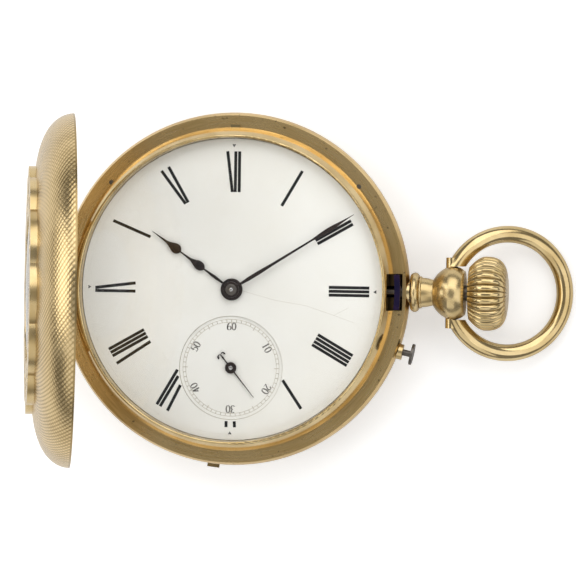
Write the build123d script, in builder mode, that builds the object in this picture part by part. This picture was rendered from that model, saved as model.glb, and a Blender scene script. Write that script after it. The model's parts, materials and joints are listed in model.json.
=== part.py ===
"""Half hunter pocket watch, lying on its back with the front lid open.

The origin is the centre of the flat on the back cover. +X points to the crown (3 o'clock),
+Y to 12 o'clock and +Z out of the dial. Millimetres and degrees.
"""

import os
from math import asin, atan2, cos, degrees, hypot, pi, radians, sin, sqrt

from build123d import *

os.makedirs("parts", exist_ok=True)

# Case middle, measured up from the flat of the back cover
case_radius = 25.0
rim_radius = 24.6
back_depth = 5.1
cover_gap = 0.1
middle_height = 3.2
bore_radius = 21.6
seat_radius = 20.8
seat_height = 0.8
channel_radius = 24.0
ledge_thickness = 0.7
upstand_width = 0.4
upstand_height = 0.9
overrun = 2.0

# Lid, back cover and dust cover
lid_depth = 5.6
shell_wall = 0.5
dome_exponent = 5.7
back_flat_drop = 0.05
lid_open_angle = 80.0
lip_low = 0.4
lip_high = 0.9
lip_width = 0.15
window_radius = 9.7
glass_radius = 10.2
glass_edge = 0.4
glass_crown = 0.35
ring_fit = 0.05
ring_tip_radius = 17.2
ring_notch_radius = 16.1
ring_lobes = 12
ring_proud = 0.6
cell_radius = 1.45
cell_circle = 13.5
cell_depth = 0.3
cuvette_radius = 22.9
cuvette_depth = 3.9
cuvette_wall = 0.3
cuvette_corner = 5.3
thumb_lip_angle = 263.5
thumb_lip_width = 1.7
thumb_lip_reach = 1.0
thumb_lip_height = 0.6

# Hinges at 9 o'clock
hinge_offset = 23.5
hinge_sink = 0.2
knuckle_radius = 0.8
hinge_length = 20.5
lid_knuckle_length = 6.4
back_knuckle_length = 3.3
knuckle_gap = 0.1
knuckle_pocket = 0.1
hinge_pin_radius = 0.35
pin_fit = 0.03
pin_reach = 0.1
lid_mitre = 40.0
back_mitre = 50.0
heel_reach = 1.2
heel_thickness = 0.3
heel_width = 2.6
heel_angle = 25.0
web_width = 1.2

# Bezel and its glass
bezel_base_radius = 22.9
bezel_base_height = 0.45
bezel_height = 3.35
bezel_fit = 0.05
lip_round = 0.22
bezel_bore = 21.35
bezel_mouth = 21.5
bezel_flat_offset = 22.35
bezel_lip_width = 1.3
bezel_lip_reach = 0.4
bezel_lip_height = 0.5
bezel_swell_share = 0.62
crystal_radius = 21.75
crystal_wall = 0.38
crystal_rise = 1.35
crystal_edge_height = 2.65
crystal_fit = 0.06

# Pendant, bow and crown, along +X at the middle of the band
pendant_root = 24.3
bead_low = 25.1
bead_high = 26.3
bead_radius = 2.8
bead_edge_share = 0.86
step_place = 26.7
step_radius = 2.3
step_edge_share = 0.92
waist_place = 28.2
waist_radius = 1.85
ball_low = 28.3
ball_high = 32.8
ball_radius = 3.75
ball_face_radius = 3.1
ball_flank_share = 0.84
ball_turn_share = 0.95
ball_outer_share = 0.7
sleeve_radius = 1.1
sleeve_fit = 0.05
sleeve_bore = 0.6
stem_radius = 0.55
crown_low = 33.4
crown_high = 38.9
crown_radius = 5.25
crown_shoulder_radius = 3.8
crown_outer_radius = 4.5
crown_end_radius = 3.7
crown_flutes = 28
crown_widest_share = 0.42
crown_outer_share = 0.84
crown_end_share = 0.91
flute_radius = 0.48
flute_lift_share = 0.3
sleeve_play = 0.03
bow_wire = 1.2
bow_reach = 8.25
bow_ring_radius = 8.4
bow_end_room = 3.1
bow_floor_gap = 0.05
bow_pin_radius = 0.75
bow_pin_depth = 0.8
bow_pin_fit = 0.05
pendant_ball_place = 30.8

# Catch, fly spring and their screws, in the channel of the band
slot_low = 22.0
slot_high = 24.05
slot_half_width = 2.6
catch_low = 23.05
catch_high = 23.85
catch_half_width = 2.45
catch_rise = 1.3
spring_inner = 23.0
spring_outer = 23.5
spring_height = 1.4
spring_floor_gap = 0.1
catch_clearance_radius = 0.95
case_screw_angle = 40.0
case_screw_circle = 23.0
case_screw_radius = 0.35
eye_radius = 0.85
eye_fit = 0.05
fly_height = 0.6
fly_low = 0.75
fly_nose_low = 22.15
fly_nose_high = 22.65
fly_nose_half_width = 1.2
fly_nose_rise = 1.6
fly_tip_angle = 177.0

# Pin-set pusher
pusher_x = 25.4
pusher_y = -8.8
pusher_tilt = -12.0
pusher_radius = 0.45
pusher_fit = 0.05
pusher_head_radius = 1.5
pusher_head_height = 0.35
pusher_length = 5.6
pusher_collar_radius = 1.1
pusher_collar_length = 0.9
pusher_collar_place = 1.35

# Movement levels
plate_radius = 21.4
plate_thickness = 1.7
dial_seat_width = 1.0
dial_room = 1.25
dial_radius = 21.3
dial_thickness = 0.75
bridge_radius = 20.0
bridge_low = 2.5
bridge_thickness = 1.2
wheel_gap = 0.05
arbor_radius = 0.3
pivot_radius = 0.12
pivot_fit = 0.03
jewel_radius = 0.6
jewel_thickness = 0.45
jewel_clearance = 0.45
tooth_share = 0.42
tip_share = 0.2
tooth_foot_share = 0.62
tooth_depth_share = 1.15
tooth_height_share = 0.85

# Going train: tooth counts and modules
barrel_teeth = 80
centre_pinion_leaves = 12
centre_teeth = 64
third_pinion_leaves = 8
third_teeth = 60
fourth_pinion_leaves = 8
fourth_teeth = 60
escape_pinion_leaves = 6
escape_teeth = 15
barrel_module = 0.19
centre_module = 0.2
third_module = 0.18
fourth_module = 0.16
barrel_angle = 60.0
seconds_offset = 11.1
escape_direction = 170.0
pallet_direction = 150.0
barrel_wheel_low = 0.3
barrel_wheel_thickness = 0.5
barrel_height = 1.95
barrel_wall = 0.45
barrel_floor = 0.4
barrel_cover_thickness = 0.35
barrel_lift = 0.2
barrel_arbor_radius = 0.9
barrel_hook_radius = 1.6
barrel_pivot_radius = 0.75
mainspring_turns = 9
mainspring_thickness = 0.2
mainspring_room = 0.1
barrel_drum_radius = 7.1
barrel_square = 1.0
barrel_arbor_fit = 0.05
arbor_screw_radius = 1.4
spring_inner_gap = 0.15
centre_wheel_recess = 0.45
centre_wheel_thickness = 0.3
wheel_thickness = 0.25
third_wheel_lift = 0.5
fourth_wheel_lift = 1.2
escape_wheel_lift = 1.8
escape_tip_radius = 3.4
escape_root_radius = 2.5
escape_rim_width = 0.4
spoke_width = 0.45
train_spokes = 5
small_spokes = 4
recess_room = 0.15
rim_share = 0.8
hub_share = 0.24
centre_arbor_radius = 0.5
centre_arbor_top = 10.95
fourth_arbor_radius = 0.2

# Escapement and balance
balance_distance = 4.0
balance_radius = 6.6
balance_rim = 0.7
balance_rim_height = 0.6
balance_lift = 0.45
balance_arm_width = 0.7
balance_arm_thickness = 0.25
balance_screw_radius = 0.28
balance_screw_reach = 0.35
balance_screw_count = 12
roller_radius = 1.1
roller_thickness = 0.25
roller_pin_circle = 0.75
roller_pin_radius = 0.14
roller_pin_gap = 0.04
hairspring_turns = 8
hairspring_inner = 0.55
hairspring_pitch = 0.29
hairspring_thickness = 0.06
hairspring_height = 0.2
hairspring_gap = 0.12
fork_length = 3.15
fork_width = 0.4
fork_head_width = 0.95
fork_slot = 0.36
pallet_stone_width = 0.32
pallet_stone_length = 0.8
pallet_gap = 0.06
pallet_span = 30.0
pallet_cock_thickness = 0.3
pallet_cock_gap = 0.15
pallet_cock_reach = 3.6
regulator_radius = 1.7
regulator_bore = 0.95
regulator_width = 0.5
regulator_tail = 4.6
regulator_thickness = 0.3
cock_head_radius = 3.2
cock_arm_width = 2.6

# Motion work, under the dial
cannon_leaves = 12
minute_teeth = 36
minute_leaves = 10
hour_teeth = 40
setting_teeth = 37
motion_distance = 4.2
motion_wheel_thickness = 0.3
motion_gap = 0.1
cannon_pipe_radius = 0.8
cannon_top = 10.85
hour_pipe_inner = 0.84
hour_pipe_outer = 1.15
hour_pipe_top = 10.2
stud_radius = 0.3
stud_fit = 0.04

# Winding work
winding_leaves = 18
contrate_teeth = 24
transmission_teeth = 36
ratchet_teeth = 45
winding_module = 0.2
winding_place = 16.6
winding_length = 1.0
contrate_place = 14.8
contrate_thickness = 0.35
contrate_tooth = 0.3
contrate_lift = 0.6
contrate_width = 0.7
winding_wheel_thickness = 0.45
transmission_arbor_radius = 0.7
square_side = 0.8
square_fit = 0.05
clutch_radius = 1.2
clutch_groove_radius = 0.8
clutch_low = 14.7
clutch_groove_low = 15.3
clutch_groove_high = 15.8
clutch_high = 16.3
face_teeth = 8
face_tooth_inner = 0.72
face_tooth_outer = 1.12
face_tooth_length = 0.22
face_tooth_share = 0.38
stem_pivot_radius = 0.4
stem_pivot_end = 12.9
stem_bearing_low = 11.6
stem_square_start = 13.9
stem_square_end = 19.2
keyless_slot_low = 13.4
keyless_slot_high = 18.2
keyless_slot_half = 2.3

# Setting lever and its spring
lever_pivot_x = 19.0
lever_pivot_y = 4.5
lever_width = 0.7
lever_thickness = 0.4
lever_knee_y = -2.9
lever_pin_x = 15.55
lever_pin_y = -1.25
lever_pin_radius = 0.18
lever_pin_drop = 1.3
lever_tab_thickness = 0.4
lever_tab_drop = 1.5
lever_tab_width = 1.0
lever_spring_thickness = 0.15
tab_play = 0.05

# Click and its spring
click_direction = 150.0
click_distance = 8.9
click_length = 2.9
click_width = 0.6
click_boss_radius = 0.75
click_tip_gap = 0.08
click_spring_thickness = 0.12
click_spring_gap = 0.04
click_spring_length = 2.5
click_recess_radius = 3.3
post_radius = 0.35

# Screws
screw_head_radius = 0.95
screw_head_height = 0.3
screw_shank_radius = 0.45
screw_slot_width = 0.18
screw_slot_depth = 0.15
screw_circle = 19.3
screw_turn = 37.0
dog_circle = 20.35
dog_head_radius = 1.1
dog_head_height = 0.3

# Dial and hands
sub_radius = 7.35
sub_sink = 0.25
sub_thickness = 0.35
dial_hole_radius = 1.4
dial_foot_radius = 0.4
dial_foot_circle = 16.5
dial_foot_length = 1.9
hand_thickness = 0.14
hour_hand_length = 14.0
hour_hand_angle = 306.1
hour_boss_radius = 1.58
hour_boss_height = 0.3
hour_hand_level = 10.08
minute_hand_length = 20.4
minute_hand_angle = 58.9
minute_boss_radius = 1.35
minute_boss_height = 0.35
minute_hand_level = 10.62
hand_neck = 0.35
hand_tip = 0.09
seconds_tip = 0.05
hour_bulb_width = 1.5
hour_bulb_place = 9.9
hour_bulb_length = 3.4
hour_inner_width = 1.35
hour_inner_place = 5.7
hour_inner_length = 2.4
minute_leaf_width = 0.7
minute_leaf_place = 16.4
minute_leaf_length = 5.4
seconds_hand_length = 5.3
seconds_tail_length = 2.7
seconds_hand_angle = 142.0
seconds_boss_radius = 0.82
seconds_hand_width = 0.2
seconds_hand_level = 9.72
seconds_boss_height = 0.22
seconds_crescent_radius = 0.55

# Levels and places that follow from the sizes above
middle_low = back_depth + cover_gap
middle_high = middle_low + middle_height
stem_z = middle_low + middle_height / 2
upstand_radius = bore_radius + upstand_width
channel_low = middle_low + seat_height
channel_high = middle_high - ledge_thickness
lid_level = middle_high + cover_gap
lid_axis_z = middle_high - hinge_sink
back_axis_z = middle_low + hinge_sink
plate_low = channel_low
plate_high = plate_low + plate_thickness
dial_low = plate_high + dial_room
dial_high = dial_low + dial_thickness
bridge_high = bridge_low + bridge_thickness
STAND = (Align.CENTER, Align.CENTER, Align.MIN)


def turned(x, y, steps):
    """A turned piece on an upright axis: (radius, low, high) steps."""
    for radius, low, high in steps:
        with Locations((x, y, low)):
            Cylinder(radius, high - low, align=STAND)


def bored(x, y, radius, low, high):
    """An upright round hole."""
    with Locations((x, y, low)):
        Cylinder(radius, high - low, align=STAND, mode=Mode.SUBTRACT)


def tooth_points(teeth, module, phase):
    """The outline of a wheel with straight-flanked teeth."""
    pitch = 360 / teeth
    root = module * (teeth / 2 - tooth_depth_share)
    tip = module * (teeth / 2 + tooth_height_share)
    points = []
    for tooth in range(teeth):
        middle = phase + tooth * pitch
        for radius, offset in (
            (root, -tooth_share * tooth_foot_share),
            (tip, -tip_share / 2),
            (tip, tip_share / 2),
            (root, tooth_share * tooth_foot_share),
        ):
            angle = radians(middle + offset * pitch)
            points.append((radius * cos(angle), radius * sin(angle)))
    return points


def toothed(x, y, low, high, teeth, module, phase):
    """A toothed disc between two levels."""
    with BuildSketch(Plane((x, y, low))) as blank:
        with BuildLine():
            Polyline(*tooth_points(teeth, module, phase), close=True)
        make_face()
    extrude(blank.sketch, amount=high - low)


def crossed_out(x, y, low, high, outer, inner, spokes, width, phase=0.0):
    """Cuts the windows of a wheel, leaving straight spokes."""
    with BuildSketch(Plane((x, y, low))) as windows:
        Circle(outer)
        Circle(inner, mode=Mode.SUBTRACT)
        for spoke in range(spokes):
            with Locations(Rotation(0, 0, phase + spoke * 360 / spokes)):
                Rectangle(outer + overrun, width, align=(Align.MIN, Align.CENTER), mode=Mode.SUBTRACT)
    extrude(windows.sketch, amount=high - low, mode=Mode.SUBTRACT)


def meshed(phase, direction, teeth, other_teeth):
    """The phase of a wheel that meshes with another, across the line of centres."""
    return direction + 180 - teeth / other_teeth * (phase - direction) + 180 / other_teeth


def spiral(x, y, low, height, inner, pitch, turns, thickness):
    """A flat spiral strip, built of half rings that meet end to end."""
    for half in range(2 * turns):
        radius = inner + half * pitch / 2
        centre = x if half % 2 == 0 else x + pitch / 2
        start = 0 if half % 2 == 0 else 180
        with BuildSketch(Plane((centre, y, low))) as strip:
            with BuildLine():
                outer = CenterArc((0, 0), radius + thickness / 2, start, 180)
                hole = CenterArc((0, 0), radius - thickness / 2, start, 180)
                Line(outer @ 0, hole @ 0)
                Line(outer @ 1, hole @ 1)
            make_face()
        extrude(strip.sketch, amount=height)


# Where the profile points of a dome and of a glass stand, as shares of the radius
dome_point_shares = (1.0, 0.985, 0.96, 0.925, 0.88, 0.82, 0.74, 0.62, 0.42, 0.2, 0.0)
glass_point_shares = (1.0, 0.75, 0.5, 0.25, 0.0)


def dome(radius, depth, exponent):
    """Profile points of a cover, from its rim to its middle."""
    return [(radius * share, depth * sqrt(1 - share**exponent)) for share in dome_point_shares]


def shallow_dome(radius, level, rise):
    """Points of a shallow glass dome, from its edge to its middle."""
    return [(radius * share, level + rise * (1 - share**2)) for share in glass_point_shares]


def dome_profile(radius, depth, exponent):
    """The closed half section of a solid cover, rim on the X axis."""
    points = dome(radius, depth, exponent)
    with BuildLine() as outline:
        Spline(*points, tangents=((0, 1), (-1, 0)))
        Line(points[-1], (0, 0))
        Line((0, 0), points[0])
    make_face(outline.edges())


# The open lid's frame: X from the hinge to the free edge, Z out of the dome.
# Its origin is the point of the lid's rim plane that lies over the dial when it is closed.
open_angle = radians(lid_open_angle)
lid_reach = Vector(cos(open_angle), 0, sin(open_angle))
lid_normal = Vector(-sin(open_angle), 0, cos(open_angle))
lid_axis = Vector(-hinge_offset, 0, lid_axis_z)
lid_centre = lid_axis + lid_reach * hinge_offset + lid_normal * (lid_level - lid_axis_z)
lid_plane = Plane(lid_centre, x_dir=lid_reach, z_dir=lid_normal)
lid_section = Plane(lid_centre, x_dir=lid_reach, z_dir=Vector(0, -1, 0))
lid_turn_axis = Axis(lid_centre, lid_normal)
up_section = Plane.XZ


def lid_level_plane(height):
    """The lid's plane, raised along its dome."""
    return Plane(lid_centre + lid_normal * height, x_dir=lid_reach, z_dir=lid_normal)


def knuckle(level, low, high, radius, mode=Mode.ADD):
    """One hinge knuckle along Y."""
    with Locations(Plane((-hinge_offset, low, level), z_dir=(0, 1, 0))):
        Cylinder(radius, high - low, align=STAND, mode=mode)


half_hinge = hinge_length / 2
half_lid_knuckle = lid_knuckle_length / 2
back_outer = half_lid_knuckle + knuckle_gap + back_knuckle_length
mitre_reach = case_radius - hinge_offset + overrun


def mitre(level, first, second, far):
    """A wedge outside the hinge line, between two directions given as (x, z)."""
    with BuildSketch(Plane((0, half_hinge + overrun, 0), x_dir=(1, 0, 0), z_dir=(0, -1, 0))) as wedge:
        with BuildLine():
            Polyline(
                (-hinge_offset, level),
                (-hinge_offset + first[0] * far, level + first[1] * far),
                (-hinge_offset - far, level + second[1] * far),
                (-hinge_offset, level + second[1] * far),
                close=True,
            )
        make_face()
    extrude(wedge.sketch, amount=2 * (half_hinge + overrun), mode=Mode.SUBTRACT)


# Case middle: band, front ledge, movement seat and the channel of the springs
bow_swing = degrees(asin((stem_z - bow_wire - bow_floor_gap) / (bow_reach + bow_ring_radius)))
with BuildPart() as case_middle:
    with BuildSketch(up_section):
        with BuildLine():
            ThreePointArc((rim_radius, middle_low), (case_radius, stem_z), (rim_radius, middle_high))
            Polyline(
                (rim_radius, middle_high),
                (upstand_radius, middle_high),
                (upstand_radius, middle_high + upstand_height),
                (bore_radius, middle_high + upstand_height),
                (bore_radius, channel_high),
                (channel_radius, channel_high),
                (channel_radius, channel_low),
                (seat_radius, channel_low),
                (seat_radius, middle_low),
                (rim_radius, middle_low),
            )
        make_face()
    revolve(axis=Axis.Z)
    mitre(lid_axis_z, (-cos(radians(lid_mitre)), -sin(radians(lid_mitre))), (0, 1), mitre_reach)
    mitre(back_axis_z, (-cos(radians(back_mitre)), sin(radians(back_mitre))), (0, -1), mitre_reach)
    for side in (-1, 1):
        low = half_lid_knuckle + knuckle_gap if side > 0 else -half_hinge
        knuckle(lid_axis_z, low, low + half_hinge - half_lid_knuckle - knuckle_gap, knuckle_radius)
        low = back_outer + knuckle_gap if side > 0 else -half_hinge
        knuckle(back_axis_z, low, low + half_hinge - back_outer - knuckle_gap, knuckle_radius)
    pocket = knuckle_radius + knuckle_pocket
    reach = half_lid_knuckle + knuckle_gap
    knuckle(lid_axis_z, -reach, reach, pocket, Mode.SUBTRACT)
    reach = back_outer + knuckle_gap
    knuckle(back_axis_z, -reach, reach, pocket, Mode.SUBTRACT)
    for level in (lid_axis_z, back_axis_z):
        knuckle(level, -half_hinge - overrun, half_hinge + overrun, hinge_pin_radius, Mode.SUBTRACT)
    # pendant bore, slot of the catch, slot of the fly spring's nose
    with Locations(Plane((bore_radius - overrun, 0, stem_z), z_dir=(1, 0, 0))):
        Cylinder(sleeve_radius + sleeve_fit, case_radius, align=STAND, mode=Mode.SUBTRACT)
    with Locations(((slot_low + slot_high) / 2, 0, channel_high - ledge_thickness)):
        Box(
            slot_high - slot_low,
            2 * slot_half_width,
            middle_high,
            align=STAND,
            mode=Mode.SUBTRACT,
        )
    with Locations((-(fly_nose_low + fly_nose_high) / 2, 0, channel_low + overrun / 2)):
        Box(
            fly_nose_high - fly_nose_low + 2 * knuckle_pocket,
            2 * (fly_nose_half_width + knuckle_gap),
            middle_high,
            align=STAND,
            mode=Mode.SUBTRACT,
        )
    # screws of the two springs, and the pusher's hole
    for angle in (case_screw_angle, 180 - case_screw_angle):
        bored(
            case_screw_circle * cos(radians(angle)),
            case_screw_circle * sin(radians(angle)),
            case_screw_radius,
            middle_low,
            middle_high + overrun,
        )
    pusher_dir = Vector(cos(radians(pusher_tilt)), sin(radians(pusher_tilt)), 0)
    pusher_point = Vector(pusher_x, pusher_y, stem_z)
    with Locations(Plane(pusher_point - pusher_dir * pusher_length, z_dir=pusher_dir)):
        Cylinder(pusher_radius + pusher_fit, case_radius, align=STAND, mode=Mode.SUBTRACT)
case_middle.part.label = "case_middle"
export_step(case_middle.part, "parts/case_middle.step")

# Collar round the pusher's hole
with BuildPart() as pusher_collar:
    with Locations(Plane(pusher_point - pusher_dir * pusher_collar_place, z_dir=-pusher_dir)):
        Cylinder(pusher_collar_radius, pusher_collar_length, align=STAND)
        Cylinder(pusher_radius + pusher_fit, case_radius, mode=Mode.SUBTRACT)
    with BuildSketch(Plane.XY.offset(middle_low - overrun)):
        Circle(case_radius - (case_radius - rim_radius) / 4)
    extrude(amount=middle_height + 2 * overrun, mode=Mode.SUBTRACT)
    add(case_middle.part, mode=Mode.SUBTRACT)
pusher_collar.part.label = "pusher_collar"
export_step(pusher_collar.part, "parts/pusher_collar.step")

# Bezel: a snap-on ring with a sloping flank, a rounded lip and the glass groove
bezel_top = middle_high + bezel_height
groove_low = middle_high + crystal_edge_height
with BuildPart() as bezel:
    inner = upstand_radius + bezel_fit
    shelf = middle_high + upstand_height + bezel_fit
    with BuildSketch(up_section):
        with BuildLine():
            Polyline(
                (inner, middle_high),
                (bezel_base_radius, middle_high),
                (bezel_base_radius, middle_high + bezel_base_height),
            )
            ThreePointArc(
                (bezel_base_radius, middle_high + bezel_base_height),
                (upstand_radius + lip_round * 2, middle_high + bezel_height * bezel_swell_share),
                (upstand_radius - bezel_fit, bezel_top - lip_round),
            )
            ThreePointArc(
                (upstand_radius - bezel_fit, bezel_top - lip_round),
                ((upstand_radius + bezel_mouth) / 2 - bezel_fit / 2, bezel_top),
                (bezel_mouth, bezel_top - lip_round),
            )
            Polyline(
                (bezel_mouth, bezel_top - lip_round),
                (bezel_mouth, groove_low + crystal_wall + crystal_fit),
                (crystal_radius, groove_low + crystal_wall + crystal_fit),
                (crystal_radius, groove_low),
                (bezel_mouth, groove_low),
                (bezel_bore, dial_high),
                (bore_radius, dial_high),
                (bore_radius, shelf),
                (inner, shelf),
                (inner, middle_high),
            )
        make_face()
    revolve(axis=Axis.Z)
    with Locations((-bezel_flat_offset, 0, middle_high)):
        Box(
            case_radius,
            hinge_length + 2 * knuckle_pocket,
            bezel_height + overrun,
            align=(Align.MAX, Align.CENTER, Align.MIN),
            mode=Mode.SUBTRACT,
        )
    with Locations((upstand_radius + bezel_fit, 0, middle_high)):
        Box(
            case_radius,
            2 * slot_half_width,
            bezel_height + overrun,
            align=(Align.MIN, Align.CENTER, Align.MIN),
            mode=Mode.SUBTRACT,
        )
    with Locations((0, bezel_base_radius - bezel_lip_reach, middle_high)):
        Box(
            bezel_lip_width,
            2 * bezel_lip_reach,
            bezel_lip_height,
            align=(Align.CENTER, Align.MIN, Align.MIN),
        )
bezel.part.label = "bezel"
export_step(bezel.part, "parts/bezel.step")

with BuildPart() as crystal:
    with BuildSketch(up_section):
        with BuildLine():
            outer_dome = shallow_dome(crystal_radius, groove_low + crystal_wall, crystal_rise)
            inner_dome = shallow_dome(crystal_radius, groove_low, crystal_rise)
            Spline(*outer_dome, tangents=((-1, crystal_rise / crystal_radius * 2), (-1, 0)))
            Spline(*inner_dome, tangents=((-1, crystal_rise / crystal_radius * 2), (-1, 0)))
            Line(outer_dome[0], inner_dome[0])
            Line(outer_dome[-1], inner_dome[-1])
        make_face()
    revolve(axis=Axis.Z)
crystal.part.label = "crystal"
export_step(crystal.part, "parts/crystal.step")

# Lid shell, open, with its middle knuckle, web and heel
with BuildPart() as lid_shell:
    with BuildSketch(lid_section):
        dome_profile(rim_radius, lid_depth, dome_exponent)
    revolve(axis=lid_turn_axis)
    with BuildSketch(lid_section):
        dome_profile(rim_radius - shell_wall, lid_depth - shell_wall, dome_exponent)
    revolve(axis=lid_turn_axis, mode=Mode.SUBTRACT)
    with BuildSketch(lid_section):
        wall_inside = rim_radius - shell_wall
        with BuildLine():
            Polyline(
                (wall_inside + lip_width, lip_low),
                (wall_inside - lip_width, (lip_low + lip_high) / 2),
                (wall_inside + lip_width / 2, lip_high),
                close=True,
            )
        make_face()
    revolve(axis=lid_turn_axis)
    with BuildSketch(lid_plane):
        Circle(window_radius)
    extrude(amount=lid_depth + overrun, mode=Mode.SUBTRACT)
    # the web that carries the knuckle, inside the dome
    with BuildSketch(lid_section):
        with BuildLine():
            Polyline(
                (-hinge_offset, lid_axis_z - lid_level),
                (-hinge_offset + knuckle_radius, lid_axis_z - lid_level + knuckle_radius / 2),
                (-hinge_offset + knuckle_radius, web_width),
                (-hinge_offset + knuckle_radius, 2 * web_width),
                (-hinge_offset - knuckle_radius / 2, web_width + knuckle_radius / 2),
                (-hinge_offset - knuckle_radius, web_width - knuckle_radius / 2),
                close=True,
            )
        make_face()
    extrude(amount=half_lid_knuckle, both=True)
    # outside the hinge line the shell is mitred, so that it can swing down beside the band
    with BuildSketch(lid_section):
        axis_height = lid_axis_z - lid_level
        far = mitre_reach
        with BuildLine():
            Polyline(
                (-hinge_offset, axis_height),
                (
                    -hinge_offset - far * cos(radians(lid_mitre)),
                    axis_height + far * sin(radians(lid_mitre)),
                ),
                (-hinge_offset - far, -far),
                (-hinge_offset, -far),
                close=True,
            )
        make_face()
    extrude(amount=half_hinge + overrun, both=True, mode=Mode.SUBTRACT)
    for side in (-1, 1):
        low = half_lid_knuckle if side > 0 else -half_hinge - overrun
        knuckle(lid_axis_z, low, low + half_hinge + overrun - half_lid_knuckle, pocket, Mode.SUBTRACT)
    knuckle(lid_axis_z, -half_lid_knuckle, half_lid_knuckle, knuckle_radius)
    with BuildSketch(Plane(lid_axis, x_dir=(1, 0, 0), z_dir=(0, -1, 0))):
        with Locations(Rotation(0, 0, heel_angle)):
            Rectangle(heel_reach, heel_thickness, align=(Align.MIN, Align.CENTER))
    extrude(amount=heel_width / 2, both=True)
    knuckle(
        lid_axis_z,
        -half_lid_knuckle - overrun,
        half_lid_knuckle + overrun,
        hinge_pin_radius + pin_fit,
        Mode.SUBTRACT,
    )
lid_shell.part.label = "lid_shell"
export_step(lid_shell.part, "parts/lid_shell.step")

# Scalloped ring round the lid's window: twelve lobes on the dome
ring_bore = glass_radius + ring_fit
lobe_pitch = 360 / ring_lobes
with BuildPart() as lid_ring:
    with BuildSketch(lid_level_plane(lid_depth / 2)):
        with BuildLine():
            for lobe in range(ring_lobes):
                middle = lobe * lobe_pitch
                ends = [
                    Vector(ring_notch_radius, 0).rotate(Axis.Z, middle + part * lobe_pitch / 2)
                    for part in (-1, 1)
                ]
                tip = Vector(ring_tip_radius, 0).rotate(Axis.Z, middle)
                ThreePointArc(ends[0], tip, ends[1])
        make_face()
        Circle(ring_bore, mode=Mode.SUBTRACT)
    extrude(amount=lid_depth / 2 + ring_proud)
    with BuildSketch(lid_section):
        dome_profile(rim_radius, lid_depth, dome_exponent)
    revolve(axis=lid_turn_axis, mode=Mode.SUBTRACT)
    with BuildSketch(lid_level_plane(lid_depth + ring_proud - cell_depth)):
        with PolarLocations(cell_circle, ring_lobes):
            Circle(cell_radius)
    extrude(amount=cell_depth, mode=Mode.SUBTRACT)
lid_ring.part.label = "lid_ring"
export_step(lid_ring.part, "parts/lid_ring.step")

with BuildPart() as numeral_cells:
    with BuildSketch(lid_level_plane(lid_depth + ring_proud - cell_depth)):
        with PolarLocations(cell_circle, ring_lobes):
            Circle(cell_radius)
    extrude(amount=cell_depth - wheel_gap)
numeral_cells.part.label = "numeral_cells"
export_step(numeral_cells.part, "parts/numeral_cells.step")

with BuildPart() as window_glass:
    with BuildSketch(lid_section):
        glass_dome = shallow_dome(glass_radius, lid_depth + glass_edge, glass_crown)
        with BuildLine():
            Polyline((0, lid_depth), (glass_radius, lid_depth), glass_dome[0])
            Spline(*glass_dome, tangents=((-1, glass_crown / glass_radius * 2), (-1, 0)))
            Line(glass_dome[-1], (0, lid_depth))
        make_face()
    revolve(axis=lid_turn_axis)
window_glass.part.label = "window_glass"
export_step(window_glass.part, "parts/window_glass.step")

# Hinge pins, with the case's outer knuckles gripping them
for name, level in (("lid_hinge_pin", lid_axis_z), ("back_hinge_pin", back_axis_z)):
    with BuildPart() as hinge_pin:
        with Locations(Plane((-hinge_offset, -half_hinge - pin_reach, level), z_dir=(0, 1, 0))):
            Cylinder(hinge_pin_radius, hinge_length + 2 * pin_reach, align=STAND)
    hinge_pin.part.label = name
    export_step(hinge_pin.part, "parts/" + name + ".step")


def cover_down(radius, depth, exponent, level, mode=Mode.ADD):
    """A solid cover that hangs below a level."""
    with BuildSketch(Plane((0, 0, level), x_dir=(1, 0, 0), z_dir=(0, 1, 0))) as half:
        dome_profile(radius, depth, exponent)
    revolve(half.sketch, axis=Axis.Z, mode=mode)


def rim_lip(angle, radius, level, width, reach, height):
    """A thumb lip on a cover's rim."""
    place = Vector(radius, 0, 0).rotate(Axis.Z, angle)
    with Locations(Location((place.X, place.Y, level), (0, 0, angle))):
        Box(2 * reach, width, height, align=(Align.CENTER, Align.CENTER, Align.MAX))


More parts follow.
